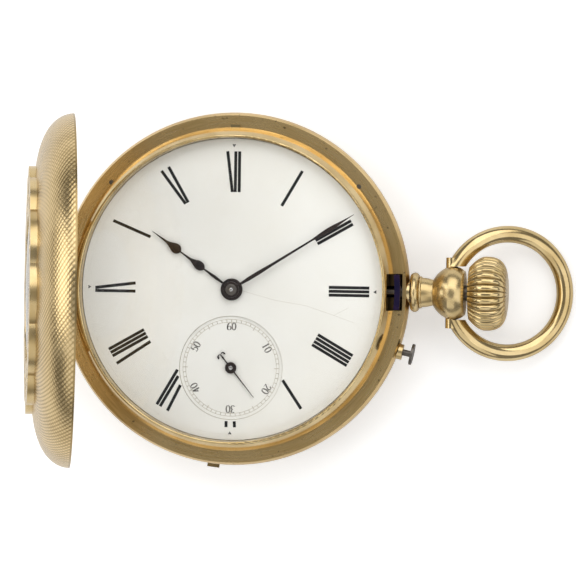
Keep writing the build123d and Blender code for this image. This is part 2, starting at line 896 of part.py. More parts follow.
with BuildPart() as back_cover:
    cover_down(rim_radius, back_depth + back_flat_drop, dome_exponent, back_depth)
    cover_down(
        rim_radius - shell_wall,
        back_depth - shell_wall,
        dome_exponent,
        back_depth,
        Mode.SUBTRACT,
    )
    with BuildSketch(Plane.XY):
        Circle(case_radius)
    extrude(amount=-overrun, mode=Mode.SUBTRACT)
    for side in (-1, 1):
        middle = side * (half_lid_knuckle + knuckle_gap + back_knuckle_length / 2)
        with Locations((-hinge_offset - knuckle_radius, middle, back_axis_z)):
            Box(
                hinge_offset + knuckle_radius - cuvette_radius - cover_gap,
                back_knuckle_length,
                3 * knuckle_radius,
                align=(Align.MIN, Align.CENTER, Align.MAX),
            )
    with BuildSketch(Plane((0, 0, 0), x_dir=(1, 0, 0), z_dir=(0, -1, 0))):
        with BuildLine():
            Polyline(
                (-hinge_offset, back_axis_z),
                (
                    -hinge_offset - mitre_reach * cos(radians(back_mitre)),
                    back_axis_z - mitre_reach * sin(radians(back_mitre)),
                ),
                (-hinge_offset - mitre_reach, back_axis_z + mitre_reach),
                (-hinge_offset, back_axis_z + mitre_reach),
                close=True,
            )
        make_face()
    extrude(amount=half_hinge + overrun, both=True, mode=Mode.SUBTRACT)
    for low, high in (
        (-half_hinge - overrun, -back_outer),
        (-half_lid_knuckle - knuckle_gap, half_lid_knuckle + knuckle_gap),
        (back_outer, half_hinge + overrun),
    ):
        knuckle(back_axis_z, low, high, pocket, Mode.SUBTRACT)
    for low in (-back_outer, half_lid_knuckle + knuckle_gap):
        knuckle(back_axis_z, low, low + back_knuckle_length, knuckle_radius)
    knuckle(
        back_axis_z,
        -half_hinge - overrun,
        half_hinge + overrun,
        hinge_pin_radius + pin_fit,
        Mode.SUBTRACT,
    )
    rim_lip(
        thumb_lip_angle,
        rim_radius,
        back_depth,
        thumb_lip_width,
        thumb_lip_reach,
        thumb_lip_height,
    )
back_cover.part.label = "back_cover"
export_step(back_cover.part, "parts/back_cover.step")



def pan_down(radius, depth, corner, mode=Mode.ADD):
    """A solid pan with a flat floor and rounded corners, hanging from the dust cover's rim."""
    with BuildSketch(Plane((0, 0, cuvette_level), x_dir=(1, 0, 0), z_dir=(0, 1, 0))) as half:
        with BuildLine() as outline:
            bend = EllipticalCenterArc((radius - corner, 0), corner, depth, 0, arc_size=90)
            Polyline(bend @ 1, (0, depth), (0, 0), bend @ 0)
        make_face(outline.edges())
    revolve(half.sketch, axis=Axis.Z, mode=mode)


# Inner dust cover, with its own knuckle between the back cover's two
cuvette_level = middle_low - cover_gap
with BuildPart() as cuvette:
    pan_down(cuvette_radius, cuvette_depth, cuvette_corner)
    pan_down(
        cuvette_radius - cuvette_wall,
        cuvette_depth - cuvette_wall,
        cuvette_corner - cuvette_wall,
        Mode.SUBTRACT,
    )
    with Locations((-hinge_offset, 0, cuvette_level)):
        Box(
            hinge_offset - cuvette_radius + 2 * cuvette_wall,
            lid_knuckle_length,
            knuckle_radius,
            align=(Align.MIN, Align.CENTER, Align.MAX),
        )
    knuckle(back_axis_z, -half_lid_knuckle, half_lid_knuckle, knuckle_radius)
    knuckle(
        back_axis_z,
        -half_lid_knuckle - overrun,
        half_lid_knuckle + overrun,
        hinge_pin_radius + pin_fit,
        Mode.SUBTRACT,
    )
cuvette.part.label = "cuvette"
export_step(cuvette.part, "parts/cuvette.step")

# Pendant: beads, waist and flattened ball, bored for the sleeve
with BuildPart() as pendant:
    with BuildSketch(Plane((0, 0, stem_z), x_dir=(1, 0, 0), z_dir=(0, -1, 0))):
        with BuildLine():
            ball_middle = (ball_low + ball_high) / 2
            bead_middle = (bead_low + bead_high) / 2
            waist_shoulder = (step_radius * step_edge_share + waist_radius) / 2 + wheel_gap
            Polyline((pendant_root, 0), (pendant_root, middle_height / 2))
            Polyline((pendant_root, middle_height / 2), (bead_low, middle_height / 2))
            Line((bead_low, middle_height / 2), (bead_low, bead_radius * bead_edge_share))
            ThreePointArc(
                (bead_low, bead_radius * bead_edge_share),
                (bead_middle, bead_radius),
                (bead_high, bead_radius * bead_edge_share),
            )
            Line((bead_high, bead_radius * bead_edge_share), (bead_high, step_radius * step_edge_share))
            ThreePointArc(
                (bead_high, step_radius * step_edge_share),
                ((bead_high + step_place) / 2, step_radius),
                (step_place, step_radius * step_edge_share),
            )
            ThreePointArc(
                (step_place, step_radius * step_edge_share),
                ((step_place + waist_place) / 2, waist_shoulder),
                (waist_place, waist_radius),
            )
            Line((waist_place, waist_radius), (ball_low, waist_radius))
            ThreePointArc(
                (ball_low, waist_radius),
                ((ball_low + ball_middle) / 2, ball_radius * ball_flank_share),
                (ball_middle, ball_radius),
            )
            ThreePointArc(
                (ball_middle, ball_radius),
                (ball_middle + (ball_high - ball_middle) * ball_outer_share, ball_radius * ball_turn_share),
                (ball_high, ball_face_radius),
            )
            Polyline((ball_high, ball_face_radius), (ball_high, 0), (pendant_root, 0))
        make_face()
    revolve(axis=Axis((0, 0, stem_z), (1, 0, 0)))
    with Locations(Plane((pendant_root - overrun, 0, stem_z), z_dir=(1, 0, 0))):
        Cylinder(sleeve_radius + sleeve_fit, crown_low, align=STAND, mode=Mode.SUBTRACT)
    for side in (-1, 1):
        pit = Plane((pendant_ball_place, side * (ball_radius - bow_pin_depth), stem_z), z_dir=(0, side, 0))
        with Locations(pit):
            Cylinder(bow_pin_radius + bow_pin_fit, overrun, align=STAND, mode=Mode.SUBTRACT)
    with BuildSketch(Plane.XY.offset(middle_low - overrun)):
        Circle(rim_radius)
    extrude(amount=middle_height + 2 * overrun, mode=Mode.SUBTRACT)
    add(case_middle.part, mode=Mode.SUBTRACT)
pendant.part.label = "pendant"
export_step(pendant.part, "parts/pendant.step")

# Bow: an oval ring, hanging down to the table, whose ends turn in the pendant's ball
bow_dir = Vector(cos(radians(bow_swing)), 0, -sin(radians(bow_swing)))
bow_normal = bow_dir.cross(Vector(0, 1, 0))
bow_centre = Vector(pendant_ball_place, 0, stem_z) + bow_dir * bow_reach
with BuildPart() as bow:
    with Locations(Plane(bow_centre, z_dir=bow_normal)):
        Torus(bow_ring_radius, bow_wire)
    for side in (-1, 1):
        with Locations(Plane((pendant_ball_place, 0, stem_z), z_dir=(0, side, 0))):
            Cylinder(bow_end_room, ball_radius + pin_fit, align=STAND, mode=Mode.SUBTRACT)
    for side in (-1, 1):
        inner_end = side * (ball_radius - bow_pin_depth + bow_pin_fit)
        with Locations(Plane((pendant_ball_place, inner_end, stem_z), z_dir=(0, side, 0))):
            Cylinder(bow_pin_radius, bow_pin_depth + bow_wire, align=STAND)
bow.part.label = "bow"
export_step(bow.part, "parts/bow.step")

# Push sleeve, crown and stem
with BuildPart() as push_sleeve:
    with Locations(Plane((catch_high + cover_gap / 2, 0, stem_z), z_dir=(1, 0, 0))):
        length = crown_low - sleeve_play - catch_high - cover_gap / 2
        Cylinder(sleeve_radius, length, align=STAND)
        Cylinder(sleeve_bore, length, align=STAND, mode=Mode.SUBTRACT)
push_sleeve.part.label = "push_sleeve"
export_step(push_sleeve.part, "parts/push_sleeve.step")

crown_section = Plane((0, 0, stem_z), x_dir=(1, 0, 0), z_dir=(0, -1, 0))
crown_axis = Axis((0, 0, stem_z), (1, 0, 0))
stem_end = crown_high - crown_shoulder_radius / 2
with BuildPart() as crown:
    with BuildSketch(crown_section):
        crown_length = crown_high - crown_low
        crown_outer_place = crown_low + crown_length * crown_outer_share
        with BuildLine():
            Line((crown_low, 0), (crown_low, crown_shoulder_radius))
            ThreePointArc(
                (crown_low, crown_shoulder_radius),
                (crown_low + crown_length * crown_widest_share, crown_radius),
                (crown_outer_place, crown_outer_radius),
            )
            Spline(
                (crown_outer_place, crown_outer_radius),
                (crown_low + crown_length * crown_end_share, crown_end_radius),
                (crown_high - sleeve_fit, crown_shoulder_radius / 2),
                (crown_high, 0),
                tangents=((1, -1), (0, -1)),
            )
            Line((crown_high, 0), (crown_low, 0))
        make_face()
    revolve(axis=crown_axis)
    groove = Plane((crown_low - overrun, 0, stem_z), z_dir=(1, 0, 0))
    for flute in range(crown_flutes):
        flute_circle = crown_radius + flute_radius * flute_lift_share
        spot = Vector(flute_circle, 0, 0).rotate(Axis.Z, flute * 360 / crown_flutes)
        with Locations(groove * Location((spot.X, spot.Y, 0))):
            Cylinder(flute_radius, crown_outer_place - crown_low + overrun, align=STAND, mode=Mode.SUBTRACT)
    with Locations(Plane((crown_low - overrun, 0, stem_z), z_dir=(1, 0, 0))):
        Cylinder(stem_radius, stem_end - crown_low + overrun, align=STAND, mode=Mode.SUBTRACT)
crown.part.label = "crown"
export_step(crown.part, "parts/crown.step")

with BuildPart() as winding_stem:
    with Locations(Plane((stem_square_end, 0, stem_z), z_dir=(1, 0, 0))):
        Cylinder(stem_radius, stem_end - stem_square_end, align=STAND)
    with Locations(Plane((stem_pivot_end, 0, stem_z), z_dir=(1, 0, 0))):
        Cylinder(stem_pivot_radius, stem_square_start - stem_pivot_end, align=STAND)
    with Locations((stem_square_start, 0, stem_z)):
        Box(
            stem_square_end - stem_square_start,
            square_side,
            square_side,
            align=(Align.MIN, Align.CENTER, Align.CENTER),
        )
winding_stem.part.label = "winding_stem"
export_step(winding_stem.part, "parts/winding_stem.step")

# Lock spring with the catch on its end, turning about its screw by a few degrees
screw_place = Vector(case_screw_circle, 0, 0).rotate(Axis.Z, case_screw_angle)
spring_level = channel_low + spring_floor_gap
with BuildPart() as lock_spring:
    with BuildSketch(Plane.XY.offset(spring_level)):
        Circle(spring_outer)
        Circle(spring_inner, mode=Mode.SUBTRACT)
        with BuildLine():
            far = case_radius * 2
            Polyline(
                (0, 0),
                (far, 0),
                (far, far * sin(radians(case_screw_angle)) / cos(radians(case_screw_angle))),
                close=True,
            )
        make_face(mode=Mode.INTERSECT)
    extrude(amount=spring_height)
    with Locations((screw_place.X, screw_place.Y, spring_level)):
        Cylinder(eye_radius, spring_height, align=STAND)
        Cylinder(case_screw_radius + eye_fit, spring_height, align=STAND, mode=Mode.SUBTRACT)
    with BuildSketch(Plane.XY.offset(spring_level)):
        Circle(catch_high)
        Circle(catch_low, mode=Mode.SUBTRACT)
        Rectangle(
            case_radius,
            2 * catch_half_width,
            align=(Align.MIN, Align.CENTER),
            mode=Mode.INTERSECT,
        )
    extrude(amount=middle_high + catch_rise - spring_level)
    with Locations(Plane((catch_low - overrun, 0, stem_z), z_dir=(1, 0, 0))):
        Cylinder(catch_clearance_radius, 2 * overrun, align=STAND, mode=Mode.SUBTRACT)
lock_spring.part.label = "lock_spring"
export_step(lock_spring.part, "parts/lock_spring.step")

fly_place = Vector(case_screw_circle, 0, 0).rotate(Axis.Z, 180 - case_screw_angle)
fly_level = channel_low + fly_low
with BuildPart() as fly_spring:
    with BuildSketch(Plane.XY.offset(fly_level)):
        Circle(spring_outer - spring_floor_gap)
        Circle(spring_inner - spring_floor_gap, mode=Mode.SUBTRACT)
        with BuildLine():
            tip = Vector(far, 0, 0).rotate(Axis.Z, fly_tip_angle)
            start = Vector(far, 0, 0).rotate(Axis.Z, 180 - case_screw_angle)
            Polyline((0, 0), (start.X, start.Y), (tip.X, tip.Y), close=True)
        make_face(mode=Mode.INTERSECT)
    extrude(amount=fly_height)
    with Locations((fly_place.X, fly_place.Y, fly_level)):
        Cylinder(eye_radius, fly_height, align=STAND)
        Cylinder(case_screw_radius + eye_fit, fly_height, align=STAND, mode=Mode.SUBTRACT)
    with Locations((-fly_nose_low, 0, fly_level)):
        Box(
            fly_nose_high - fly_nose_low,
            2 * fly_nose_half_width,
            fly_nose_rise - fly_low,
            align=(Align.MAX, Align.CENTER, Align.MIN),
        )
        Box(
            spring_outer - spring_floor_gap - fly_nose_low,
            2 * fly_nose_half_width,
            fly_height,
            align=(Align.MAX, Align.CENTER, Align.MIN),
        )
fly_spring.part.label = "fly_spring"
export_step(fly_spring.part, "parts/fly_spring.step")

with BuildPart() as case_spring_screws:
    for angle in (case_screw_angle, 180 - case_screw_angle):
        spot = Vector(case_screw_circle, 0, 0).rotate(Axis.Z, angle)
        turned(spot.X, spot.Y, [(case_screw_radius, middle_low, middle_high - pin_fit)])
case_spring_screws.part.label = "case_spring_screws"
export_step(case_spring_screws.part, "parts/case_spring_screws.step")

with BuildPart() as set_pusher:
    head = pusher_point
    with Locations(Plane(head - pusher_dir * pusher_length, z_dir=pusher_dir)):
        Cylinder(pusher_radius, pusher_length, align=STAND)
    with Locations(Plane(head - pusher_dir * pusher_head_height / 2, z_dir=pusher_dir)):
        Cylinder(pusher_head_radius, pusher_head_height, align=STAND)
set_pusher.part.label = "set_pusher"
export_step(set_pusher.part, "parts/set_pusher.step")

# Where the arbors of the train stand
barrel_pitch = barrel_module * (barrel_teeth + centre_pinion_leaves) / 2
barrel_x = barrel_pitch * cos(radians(barrel_angle))
barrel_y = barrel_pitch * sin(radians(barrel_angle))
third_reach = centre_module * (centre_teeth + third_pinion_leaves) / 2
fourth_reach = third_module * (third_teeth + fourth_pinion_leaves) / 2
escape_reach = fourth_module * (fourth_teeth + escape_pinion_leaves) / 2
third_y = -(third_reach**2 - fourth_reach**2 + seconds_offset**2) / (2 * seconds_offset)
third_x = sqrt(third_reach**2 - third_y**2)
fourth_x = 0.0
fourth_y = -seconds_offset
escape_x = fourth_x + escape_reach * cos(radians(escape_direction))
escape_y = fourth_y + escape_reach * sin(radians(escape_direction))
pallet_reach = (escape_tip_radius + pallet_gap) / cos(radians(pallet_span))
pallet_x = escape_x + pallet_reach * cos(radians(pallet_direction))
pallet_y = escape_y + pallet_reach * sin(radians(pallet_direction))
balance_x = pallet_x + balance_distance * cos(radians(pallet_direction))
balance_y = pallet_y + balance_distance * sin(radians(pallet_direction))
train_places = (
    (third_x, third_y),
    (fourth_x, fourth_y),
    (escape_x, escape_y),
    (balance_x, balance_y),
)
minute_module = 2 * motion_distance / (cannon_leaves + minute_teeth)
hour_module = 2 * motion_distance / (minute_leaves + hour_teeth)
setting_x = motion_distance + minute_module * (minute_teeth + setting_teeth) / 2
ratchet_module = 2 * hypot(contrate_place - barrel_x, barrel_y) / (transmission_teeth + ratchet_teeth)
dial_foot_angles = (40.0, 188.0, 300.0)
plate_jewel_low = plate_high - jewel_thickness

# Directions between neighbouring wheels, and the phases that keep them in mesh at rest
to_barrel = degrees(atan2(barrel_y, barrel_x))
to_third = degrees(atan2(third_y, third_x))
third_to_fourth = degrees(atan2(fourth_y - third_y, fourth_x - third_x))
centre_pinion_phase = 0.0
barrel_phase = meshed(centre_pinion_phase, to_barrel, centre_pinion_leaves, barrel_teeth)
centre_phase = 0.0
third_pinion_phase = meshed(centre_phase, to_third, centre_teeth, third_pinion_leaves)
third_phase = 0.0
fourth_pinion_phase = meshed(third_phase, third_to_fourth, third_teeth, fourth_pinion_leaves)
fourth_phase = 0.0
escape_pinion_phase = meshed(fourth_phase, escape_direction, fourth_teeth, escape_pinion_leaves)
minute_phase = meshed(0.0, 0.0, cannon_leaves, minute_teeth)
hour_phase = meshed(0.0, 180.0, minute_leaves, hour_teeth)
setting_phase = meshed(minute_phase, 0.0, minute_teeth, setting_teeth)
to_transmission = degrees(atan2(-barrel_y, contrate_place - barrel_x))
transmission_phase = meshed(0.0, to_transmission, ratchet_teeth, transmission_teeth)

# Main plate: seat of the dial, jewel holes, keyless slot and edge notch
tab_place = pusher_point - pusher_dir * (pusher_length + tab_play + lever_tab_thickness / 2)
bridge_screw_angles = (28.0, 72.0, 118.0, 150.0)
train_screw_angles = (-36.0, -84.0)
bridge_jewels = 3
dog_angles = (95.0, -97.0)
cock_x = -15.6
cock_y = 3.6


def screw_spots():
    """Where the bridge screws stand."""
    spots = [
        Vector(screw_circle, 0, 0).rotate(Axis.Z, angle)
        for angle in bridge_screw_angles + train_screw_angles
    ]
    return [(spot.X, spot.Y) for spot in spots] + [(cock_x, cock_y)]


with BuildPart() as main_plate:
    turned(0, 0, [(plate_radius, plate_low, dial_low)])
    bored(0, 0, plate_radius - dial_seat_width, plate_high, dial_low + overrun)
    bored(0, 0, centre_arbor_radius + stud_fit, plate_low - overrun, dial_low)
    recess = centre_module * (centre_teeth / 2 + 1) + recess_room
    bored(0, 0, recess, plate_low - overrun, plate_low + centre_wheel_recess)
    bored(
        third_x,
        third_y,
        centre_module * (third_pinion_leaves / 2 + 1) + recess_room,
        plate_low - overrun,
        plate_low + centre_wheel_recess + wheel_gap,
    )
    for x, y in train_places:
        bored(x, y, jewel_clearance, plate_low - overrun, plate_high)
        bored(x, y, jewel_radius, plate_jewel_low, plate_high + overrun)
    bored(pallet_x, pallet_y, jewel_clearance, plate_low - overrun, plate_high)
    bored(pallet_x, pallet_y, jewel_radius, plate_jewel_low, plate_high + overrun)
    bored(barrel_x, barrel_y, barrel_pivot_radius + stud_fit, plate_low - overrun, dial_low)
    with Locations(((keyless_slot_low + keyless_slot_high) / 2, 0, plate_low - overrun)):
        Box(
            keyless_slot_high - keyless_slot_low,
            2 * keyless_slot_half,
            dial_low,
            align=STAND,
            mode=Mode.SUBTRACT,
        )
    with Locations(Plane((keyless_slot_high - overrun, 0, stem_z), z_dir=(1, 0, 0))):
        Cylinder(stem_radius + sleeve_fit, plate_radius, align=STAND, mode=Mode.SUBTRACT)
    with Locations(Plane((stem_bearing_low, 0, stem_z), z_dir=(1, 0, 0))):
        Cylinder(stem_pivot_radius + sleeve_fit, overrun + overrun, align=STAND, mode=Mode.SUBTRACT)
    with Locations(Location((tab_place.X, tab_place.Y, plate_low - overrun), (0, 0, pusher_tilt))):
        Box(
            2 * overrun - tab_play,
            lever_tab_width + 2 * overrun,
            dial_low,
            align=STAND,
            mode=Mode.SUBTRACT,
        )
    for x, y in screw_spots():
        bored(x, y, screw_shank_radius, plate_low - overrun, plate_high + overrun)
    for angle in dog_angles:
        spot = Vector(dog_circle, 0, 0).rotate(Axis.Z, angle)
        bored(spot.X, spot.Y, screw_shank_radius, plate_low - overrun, dial_low - plate_thickness / 2)
    for angle in dial_foot_angles:
        spot = Vector(dial_foot_circle, 0, 0).rotate(Axis.Z, angle)
        bored(spot.X, spot.Y, dial_foot_radius, plate_low - overrun, dial_low)
    # posts for the motion work and the levers
    motion_low = plate_high + motion_gap
    turned(motion_distance, 0, [(stud_radius, plate_high - overrun / 2, dial_low - motion_gap)])
    turned(setting_x, 0, [(stud_radius, plate_high - overrun / 2, motion_low + 2 * motion_wheel_thickness)])
    turned(
        lever_pivot_x,
        lever_pivot_y,
        [(stud_radius, plate_high - overrun / 2, motion_low + 2 * lever_thickness)],
    )
main_plate.part.label = "main_plate"
export_step(main_plate.part, "parts/main_plate.step")


# Bridge borders, as shares of the bridge radius
barrel_border_shares = (
    (-1.1, 0.34), (-0.43, 0.34), (-0.13, -0.13), (0.37, -0.13), (0.48, -0.335), (1.1, -0.335),
    (1.1, 1.1), (-1.1, 1.1),
)
train_border_shares = (
    (-0.11, -0.15), (0.36, -0.15), (0.47, -0.355), (1.1, -0.355), (1.1, -1.1), (-0.42, -1.1),
    (-0.4, -0.6), (-0.2, -0.38),
)
cock_foot_shares = ((-1.1, 0.06), (-0.46, 0.06), (-0.46, 0.31), (-1.1, 0.31))


def shares_to_points(rows, size):
    """Outline points from shares of a size."""
    return [(x * size, y * size) for x, y in rows]


barrel_points = shares_to_points(barrel_border_shares, bridge_radius)
train_points = shares_to_points(train_border_shares, bridge_radius)
with BuildPart() as barrel_bridge:
    with BuildSketch(Plane.XY.offset(bridge_low)):
        Circle(bridge_radius)
        with BuildLine():
            Polyline(*barrel_points, close=True)
        make_face(mode=Mode.INTERSECT)
    extrude(amount=bridge_thickness)
    for angle in bridge_screw_angles:
        spot = Vector(screw_circle, 0, 0).rotate(Axis.Z, angle)
        turned(spot.X, spot.Y, [(bridge_radius - screw_circle + screw_shank_radius, bridge_low, plate_low)])
    with BuildSketch(Plane.XY.offset(bridge_low)):
        Circle(case_radius)
        Circle(bridge_radius, mode=Mode.SUBTRACT)
    extrude(amount=dial_low, mode=Mode.SUBTRACT)
    bored(0, 0, jewel_radius, bridge_low - overrun, bridge_low + jewel_thickness)
    bored(0, 0, centre_arbor_radius + stud_fit, bridge_low, plate_low)
    bored(barrel_x, barrel_y, barrel_pivot_radius + stud_fit, bridge_low - overrun, plate_low)
    bored(contrate_place, 0, transmission_arbor_radius + stud_fit, bridge_low - overrun, plate_low)
    click_x = barrel_x + click_distance * cos(radians(click_direction))
    click_y = barrel_y + click_distance * sin(radians(click_direction))
    recess_top = bridge_low + winding_wheel_thickness
    for x, y, radius in (
        (barrel_x, barrel_y, ratchet_module * (ratchet_teeth / 2 + 1) + wheel_gap),
        (contrate_place, 0, ratchet_module * (transmission_teeth / 2 + 1) + wheel_gap),
        (click_x, click_y, click_recess_radius),
    ):
        bored(x, y, radius, bridge_low - overrun, recess_top)
    turned(click_x, click_y, [(stud_radius, bridge_low - 2 * wheel_gap, bridge_high)])
    for angle in bridge_screw_angles:
        spot = Vector(screw_circle, 0, 0).rotate(Axis.Z, angle)
        bored(spot.X, spot.Y, screw_shank_radius, bridge_low - overrun, dial_low)
barrel_bridge.part.label = "barrel_bridge"
export_step(barrel_bridge.part, "parts/barrel_bridge.step")

with BuildPart() as train_bridge:
    with BuildSketch(Plane.XY.offset(bridge_low)):
        Circle(bridge_radius)
        with BuildLine():
            Polyline(*train_points, close=True)
        make_face(mode=Mode.INTERSECT)
    extrude(amount=bridge_thickness)
    for angle in train_screw_angles:
        spot = Vector(screw_circle, 0, 0).rotate(Axis.Z, angle)
        turned(spot.X, spot.Y, [(bridge_radius - screw_circle + screw_shank_radius, bridge_low, plate_low)])
    with BuildSketch(Plane.XY.offset(bridge_low)):
        Circle(case_radius)
        Circle(bridge_radius, mode=Mode.SUBTRACT)
    extrude(amount=dial_low, mode=Mode.SUBTRACT)
    for x, y in train_places[:bridge_jewels]:
        bored(x, y, jewel_radius, bridge_low - overrun, bridge_low + jewel_thickness)
        bored(x, y, jewel_clearance, bridge_low, plate_low)
    for angle in train_screw_angles:
        spot = Vector(screw_circle, 0, 0).rotate(Axis.Z, angle)
        bored(spot.X, spot.Y, screw_shank_radius, bridge_low - overrun, dial_low)
train_bridge.part.label = "train_bridge"
export_step(train_bridge.part, "parts/train_bridge.step")

# Balance cock: foot, arm and round head over the balance
cock_direction = degrees(atan2(balance_y - cock_y, balance_x - cock_x))
cock_length = hypot(balance_x - cock_x, balance_y - cock_y)
with BuildPart() as balance_cock:
    with BuildSketch(Plane.XY.offset(bridge_low)):
        Circle(bridge_radius)
        with BuildLine():
            Polyline(*shares_to_points(cock_foot_shares, bridge_radius), close=True)
        make_face(mode=Mode.INTERSECT)
    extrude(amount=plate_low - bridge_low)
    with BuildSketch(Plane.XY.offset(bridge_low)):
        with Locations((balance_x, balance_y)):
            Circle(cock_head_radius)
        with Locations(Location((cock_x, cock_y, 0), (0, 0, cock_direction))):
            Rectangle(cock_length, cock_arm_width, align=(Align.MIN, Align.CENTER))
    extrude(amount=bridge_thickness)
    boss_low = bridge_low - wheel_gap - regulator_thickness
    turned(balance_x, balance_y, [(regulator_bore - wheel_gap, boss_low, bridge_low)])
    bored(balance_x, balance_y, jewel_radius, boss_low - overrun, bridge_low + jewel_thickness)
    bored(balance_x, balance_y, jewel_clearance, bridge_low, plate_low)
    bored(cock_x, cock_y, screw_shank_radius, bridge_low - overrun, dial_low)
balance_cock.part.label = "balance_cock"
export_step(balance_cock.part, "parts/balance_cock.step")

# Pallet cock: a thin bar between two feet, under the balance
fork_low = bridge_high + escape_wheel_lift
cock_bar_low = fork_low - pallet_cock_gap - pallet_cock_thickness
with BuildPart() as pallet_cock:
    across = pallet_direction + 90
    with BuildSketch(Plane.XY.offset(cock_bar_low)):
        with Locations(Location((pallet_x, pallet_y, 0), (0, 0, across))):
            Rectangle(2 * pallet_cock_reach, 2 * jewel_radius + spoke_width)
    extrude(amount=pallet_cock_thickness)
    for side in (-1, 1):
        foot = Vector(side * pallet_cock_reach, 0, 0).rotate(Axis.Z, across)
        turned(pallet_x + foot.X, pallet_y + foot.Y, [(jewel_radius, cock_bar_low, plate_low)])
    bored(pallet_x, pallet_y, pivot_radius + pivot_fit, cock_bar_low - overrun, plate_low)
pallet_cock.part.label = "pallet_cock"
export_step(pallet_cock.part, "parts/pallet_cock.step")

with BuildPart() as jewels:
    for x, y in train_places:
        hole = fourth_arbor_radius if (x, y) == (fourth_x, fourth_y) else pivot_radius
        turned(x, y, [(jewel_radius, plate_jewel_low, plate_high)])
        bored(x, y, hole + pivot_fit, plate_jewel_low - wheel_gap, plate_high + wheel_gap)
        turned(x, y, [(jewel_radius, bridge_low, bridge_low + jewel_thickness)])
        bored(x, y, pivot_radius + pivot_fit, bridge_low - wheel_gap, bridge_high)
    turned(pallet_x, pallet_y, [(jewel_radius, plate_jewel_low, plate_high)])
    bored(pallet_x, pallet_y, pivot_radius + pivot_fit, plate_jewel_low - wheel_gap, plate_high + wheel_gap)
    turned(0, 0, [(jewel_radius, bridge_low, bridge_low + jewel_thickness)])
    bored(0, 0, pivot_radius + pivot_fit, bridge_low - wheel_gap, bridge_high)
jewels.part.label = "jewels"
export_step(jewels.part, "parts/jewels.step")


def slotted_screw(x, y, head_radius, head_low, head_height, shank_low, shank_high, turn):
    """A screw seen from the back: slotted head below, shank going up."""
    turned(
        x,
        y,
        [
            (head_radius, head_low, head_low + head_height),
            (screw_shank_radius, shank_low, shank_high),
        ],
    )
    with Locations(Location((x, y, head_low), (0, 0, turn))):
        Box(2 * head_radius + overrun, screw_slot_width, 2 * screw_slot_depth, mode=Mode.SUBTRACT)


with BuildPart() as movement_screws:
    for index, (x, y) in enumerate(screw_spots()):
        slotted_screw(
            x,
            y,
            screw_head_radius,
            bridge_low - screw_head_height,
            screw_head_height,
            bridge_low,
            plate_high,
            index * screw_turn,
        )
movement_screws.part.label = "movement_screws"
export_step(movement_screws.part, "parts/movement_screws.step")

with BuildPart() as case_screws:
    for angle in dog_angles:
        spot = Vector(dog_circle, 0, 0).rotate(Axis.Z, angle)
        slotted_screw(
            spot.X,
            spot.Y,
            dog_head_radius,
            middle_low - dog_head_height,
            dog_head_height,
            middle_low,
            plate_high - plate_thickness / 2,
            angle,
        )
case_screws.part.label = "case_screws"
export_step(case_screws.part, "parts/case_screws.step")

# Winding pinion and sliding clutch, on the stem
face_step = 360 / face_teeth


def across(x):
    """The plane square to the stem at a place on it: Y across and Z up."""
    return Plane((x, 0, stem_z), x_dir=(0, 1, 0), z_dir=(1, 0, 0))


def face_ring(low, high, phase):
    """A ring of Breguet teeth between two places on the stem."""
    middle = (face_tooth_inner + face_tooth_outer) / 2
    width = 2 * pi * middle / face_teeth * face_tooth_share
    with BuildSketch(across(low)) as ring:
        with PolarLocations(middle, face_teeth, start_angle=phase):
            Rectangle(face_tooth_outer - face_tooth_inner, width)
    extrude(ring.sketch, amount=high - low)


with BuildPart() as winding_pinion:
    with BuildSketch(across(winding_place)) as blank:
        with BuildLine():
            Polyline(*tooth_points(winding_leaves, winding_module, -90), close=True)
        make_face()
        Circle(square_side * sqrt(1 / 2) + square_fit, mode=Mode.SUBTRACT)
    extrude(blank.sketch, amount=winding_length)
    face_ring(winding_place - face_tooth_length, winding_place, face_step / 2)
winding_pinion.part.label = "winding_pinion"
export_step(winding_pinion.part, "parts/winding_pinion.step")

with BuildPart() as clutch_wheel:
    with BuildSketch(across(clutch_low)):
        Circle(clutch_radius)
    extrude(amount=clutch_high - clutch_low)
    with BuildSketch(across(clutch_groove_low)):
        Circle(clutch_radius)
        Circle(clutch_groove_radius, mode=Mode.SUBTRACT)
    extrude(amount=clutch_groove_high - clutch_groove_low, mode=Mode.SUBTRACT)
    face_ring(clutch_high, clutch_high + face_tooth_length, 0)
    face_ring(clutch_low - face_tooth_length, clutch_low, 0)
    with BuildSketch(across(clutch_low - overrun)):
        Rectangle(square_side + 2 * square_fit, square_side + 2 * square_fit)
    extrude(amount=clutch_high - clutch_low + 2 * overrun, mode=Mode.SUBTRACT)
clutch_wheel.part.label = "clutch_wheel"
export_step(clutch_wheel.part, "parts/clutch_wheel.step")

# Transmission wheel: spur wheel sunk in the bridge, arbor and contrate wheel under the pinion
winding_low = bridge_low - wheel_gap
winding_top = winding_low + winding_wheel_thickness
contrate_low = bridge_high + contrate_lift
contrate_high = contrate_low + contrate_thickness
contrate_circle = winding_place + winding_length / 2 - contrate_place
contrate_step = 360 / contrate_teeth
with BuildPart() as transmission_wheel:
    toothed(
        contrate_place,
        0,
        winding_low,
        winding_top,
        transmission_teeth,
        ratchet_module,
        transmission_phase,
    )
    disc_radius = contrate_circle + contrate_width / 2
    turned(
        contrate_place,
        0,
        [
            (transmission_arbor_radius, winding_low, contrate_high),
            (disc_radius, contrate_low, contrate_high),
        ],
    )
    with BuildSketch(Plane((contrate_place, 0, contrate_high))) as ring:
        with PolarLocations(contrate_circle, contrate_teeth, start_angle=contrate_step / 2):
            Rectangle(contrate_width, 2 * pi * contrate_circle / contrate_teeth * tooth_share)
    extrude(ring.sketch, amount=contrate_tooth)
transmission_wheel.part.label = "transmission_wheel"
export_step(transmission_wheel.part, "parts/transmission_wheel.step")

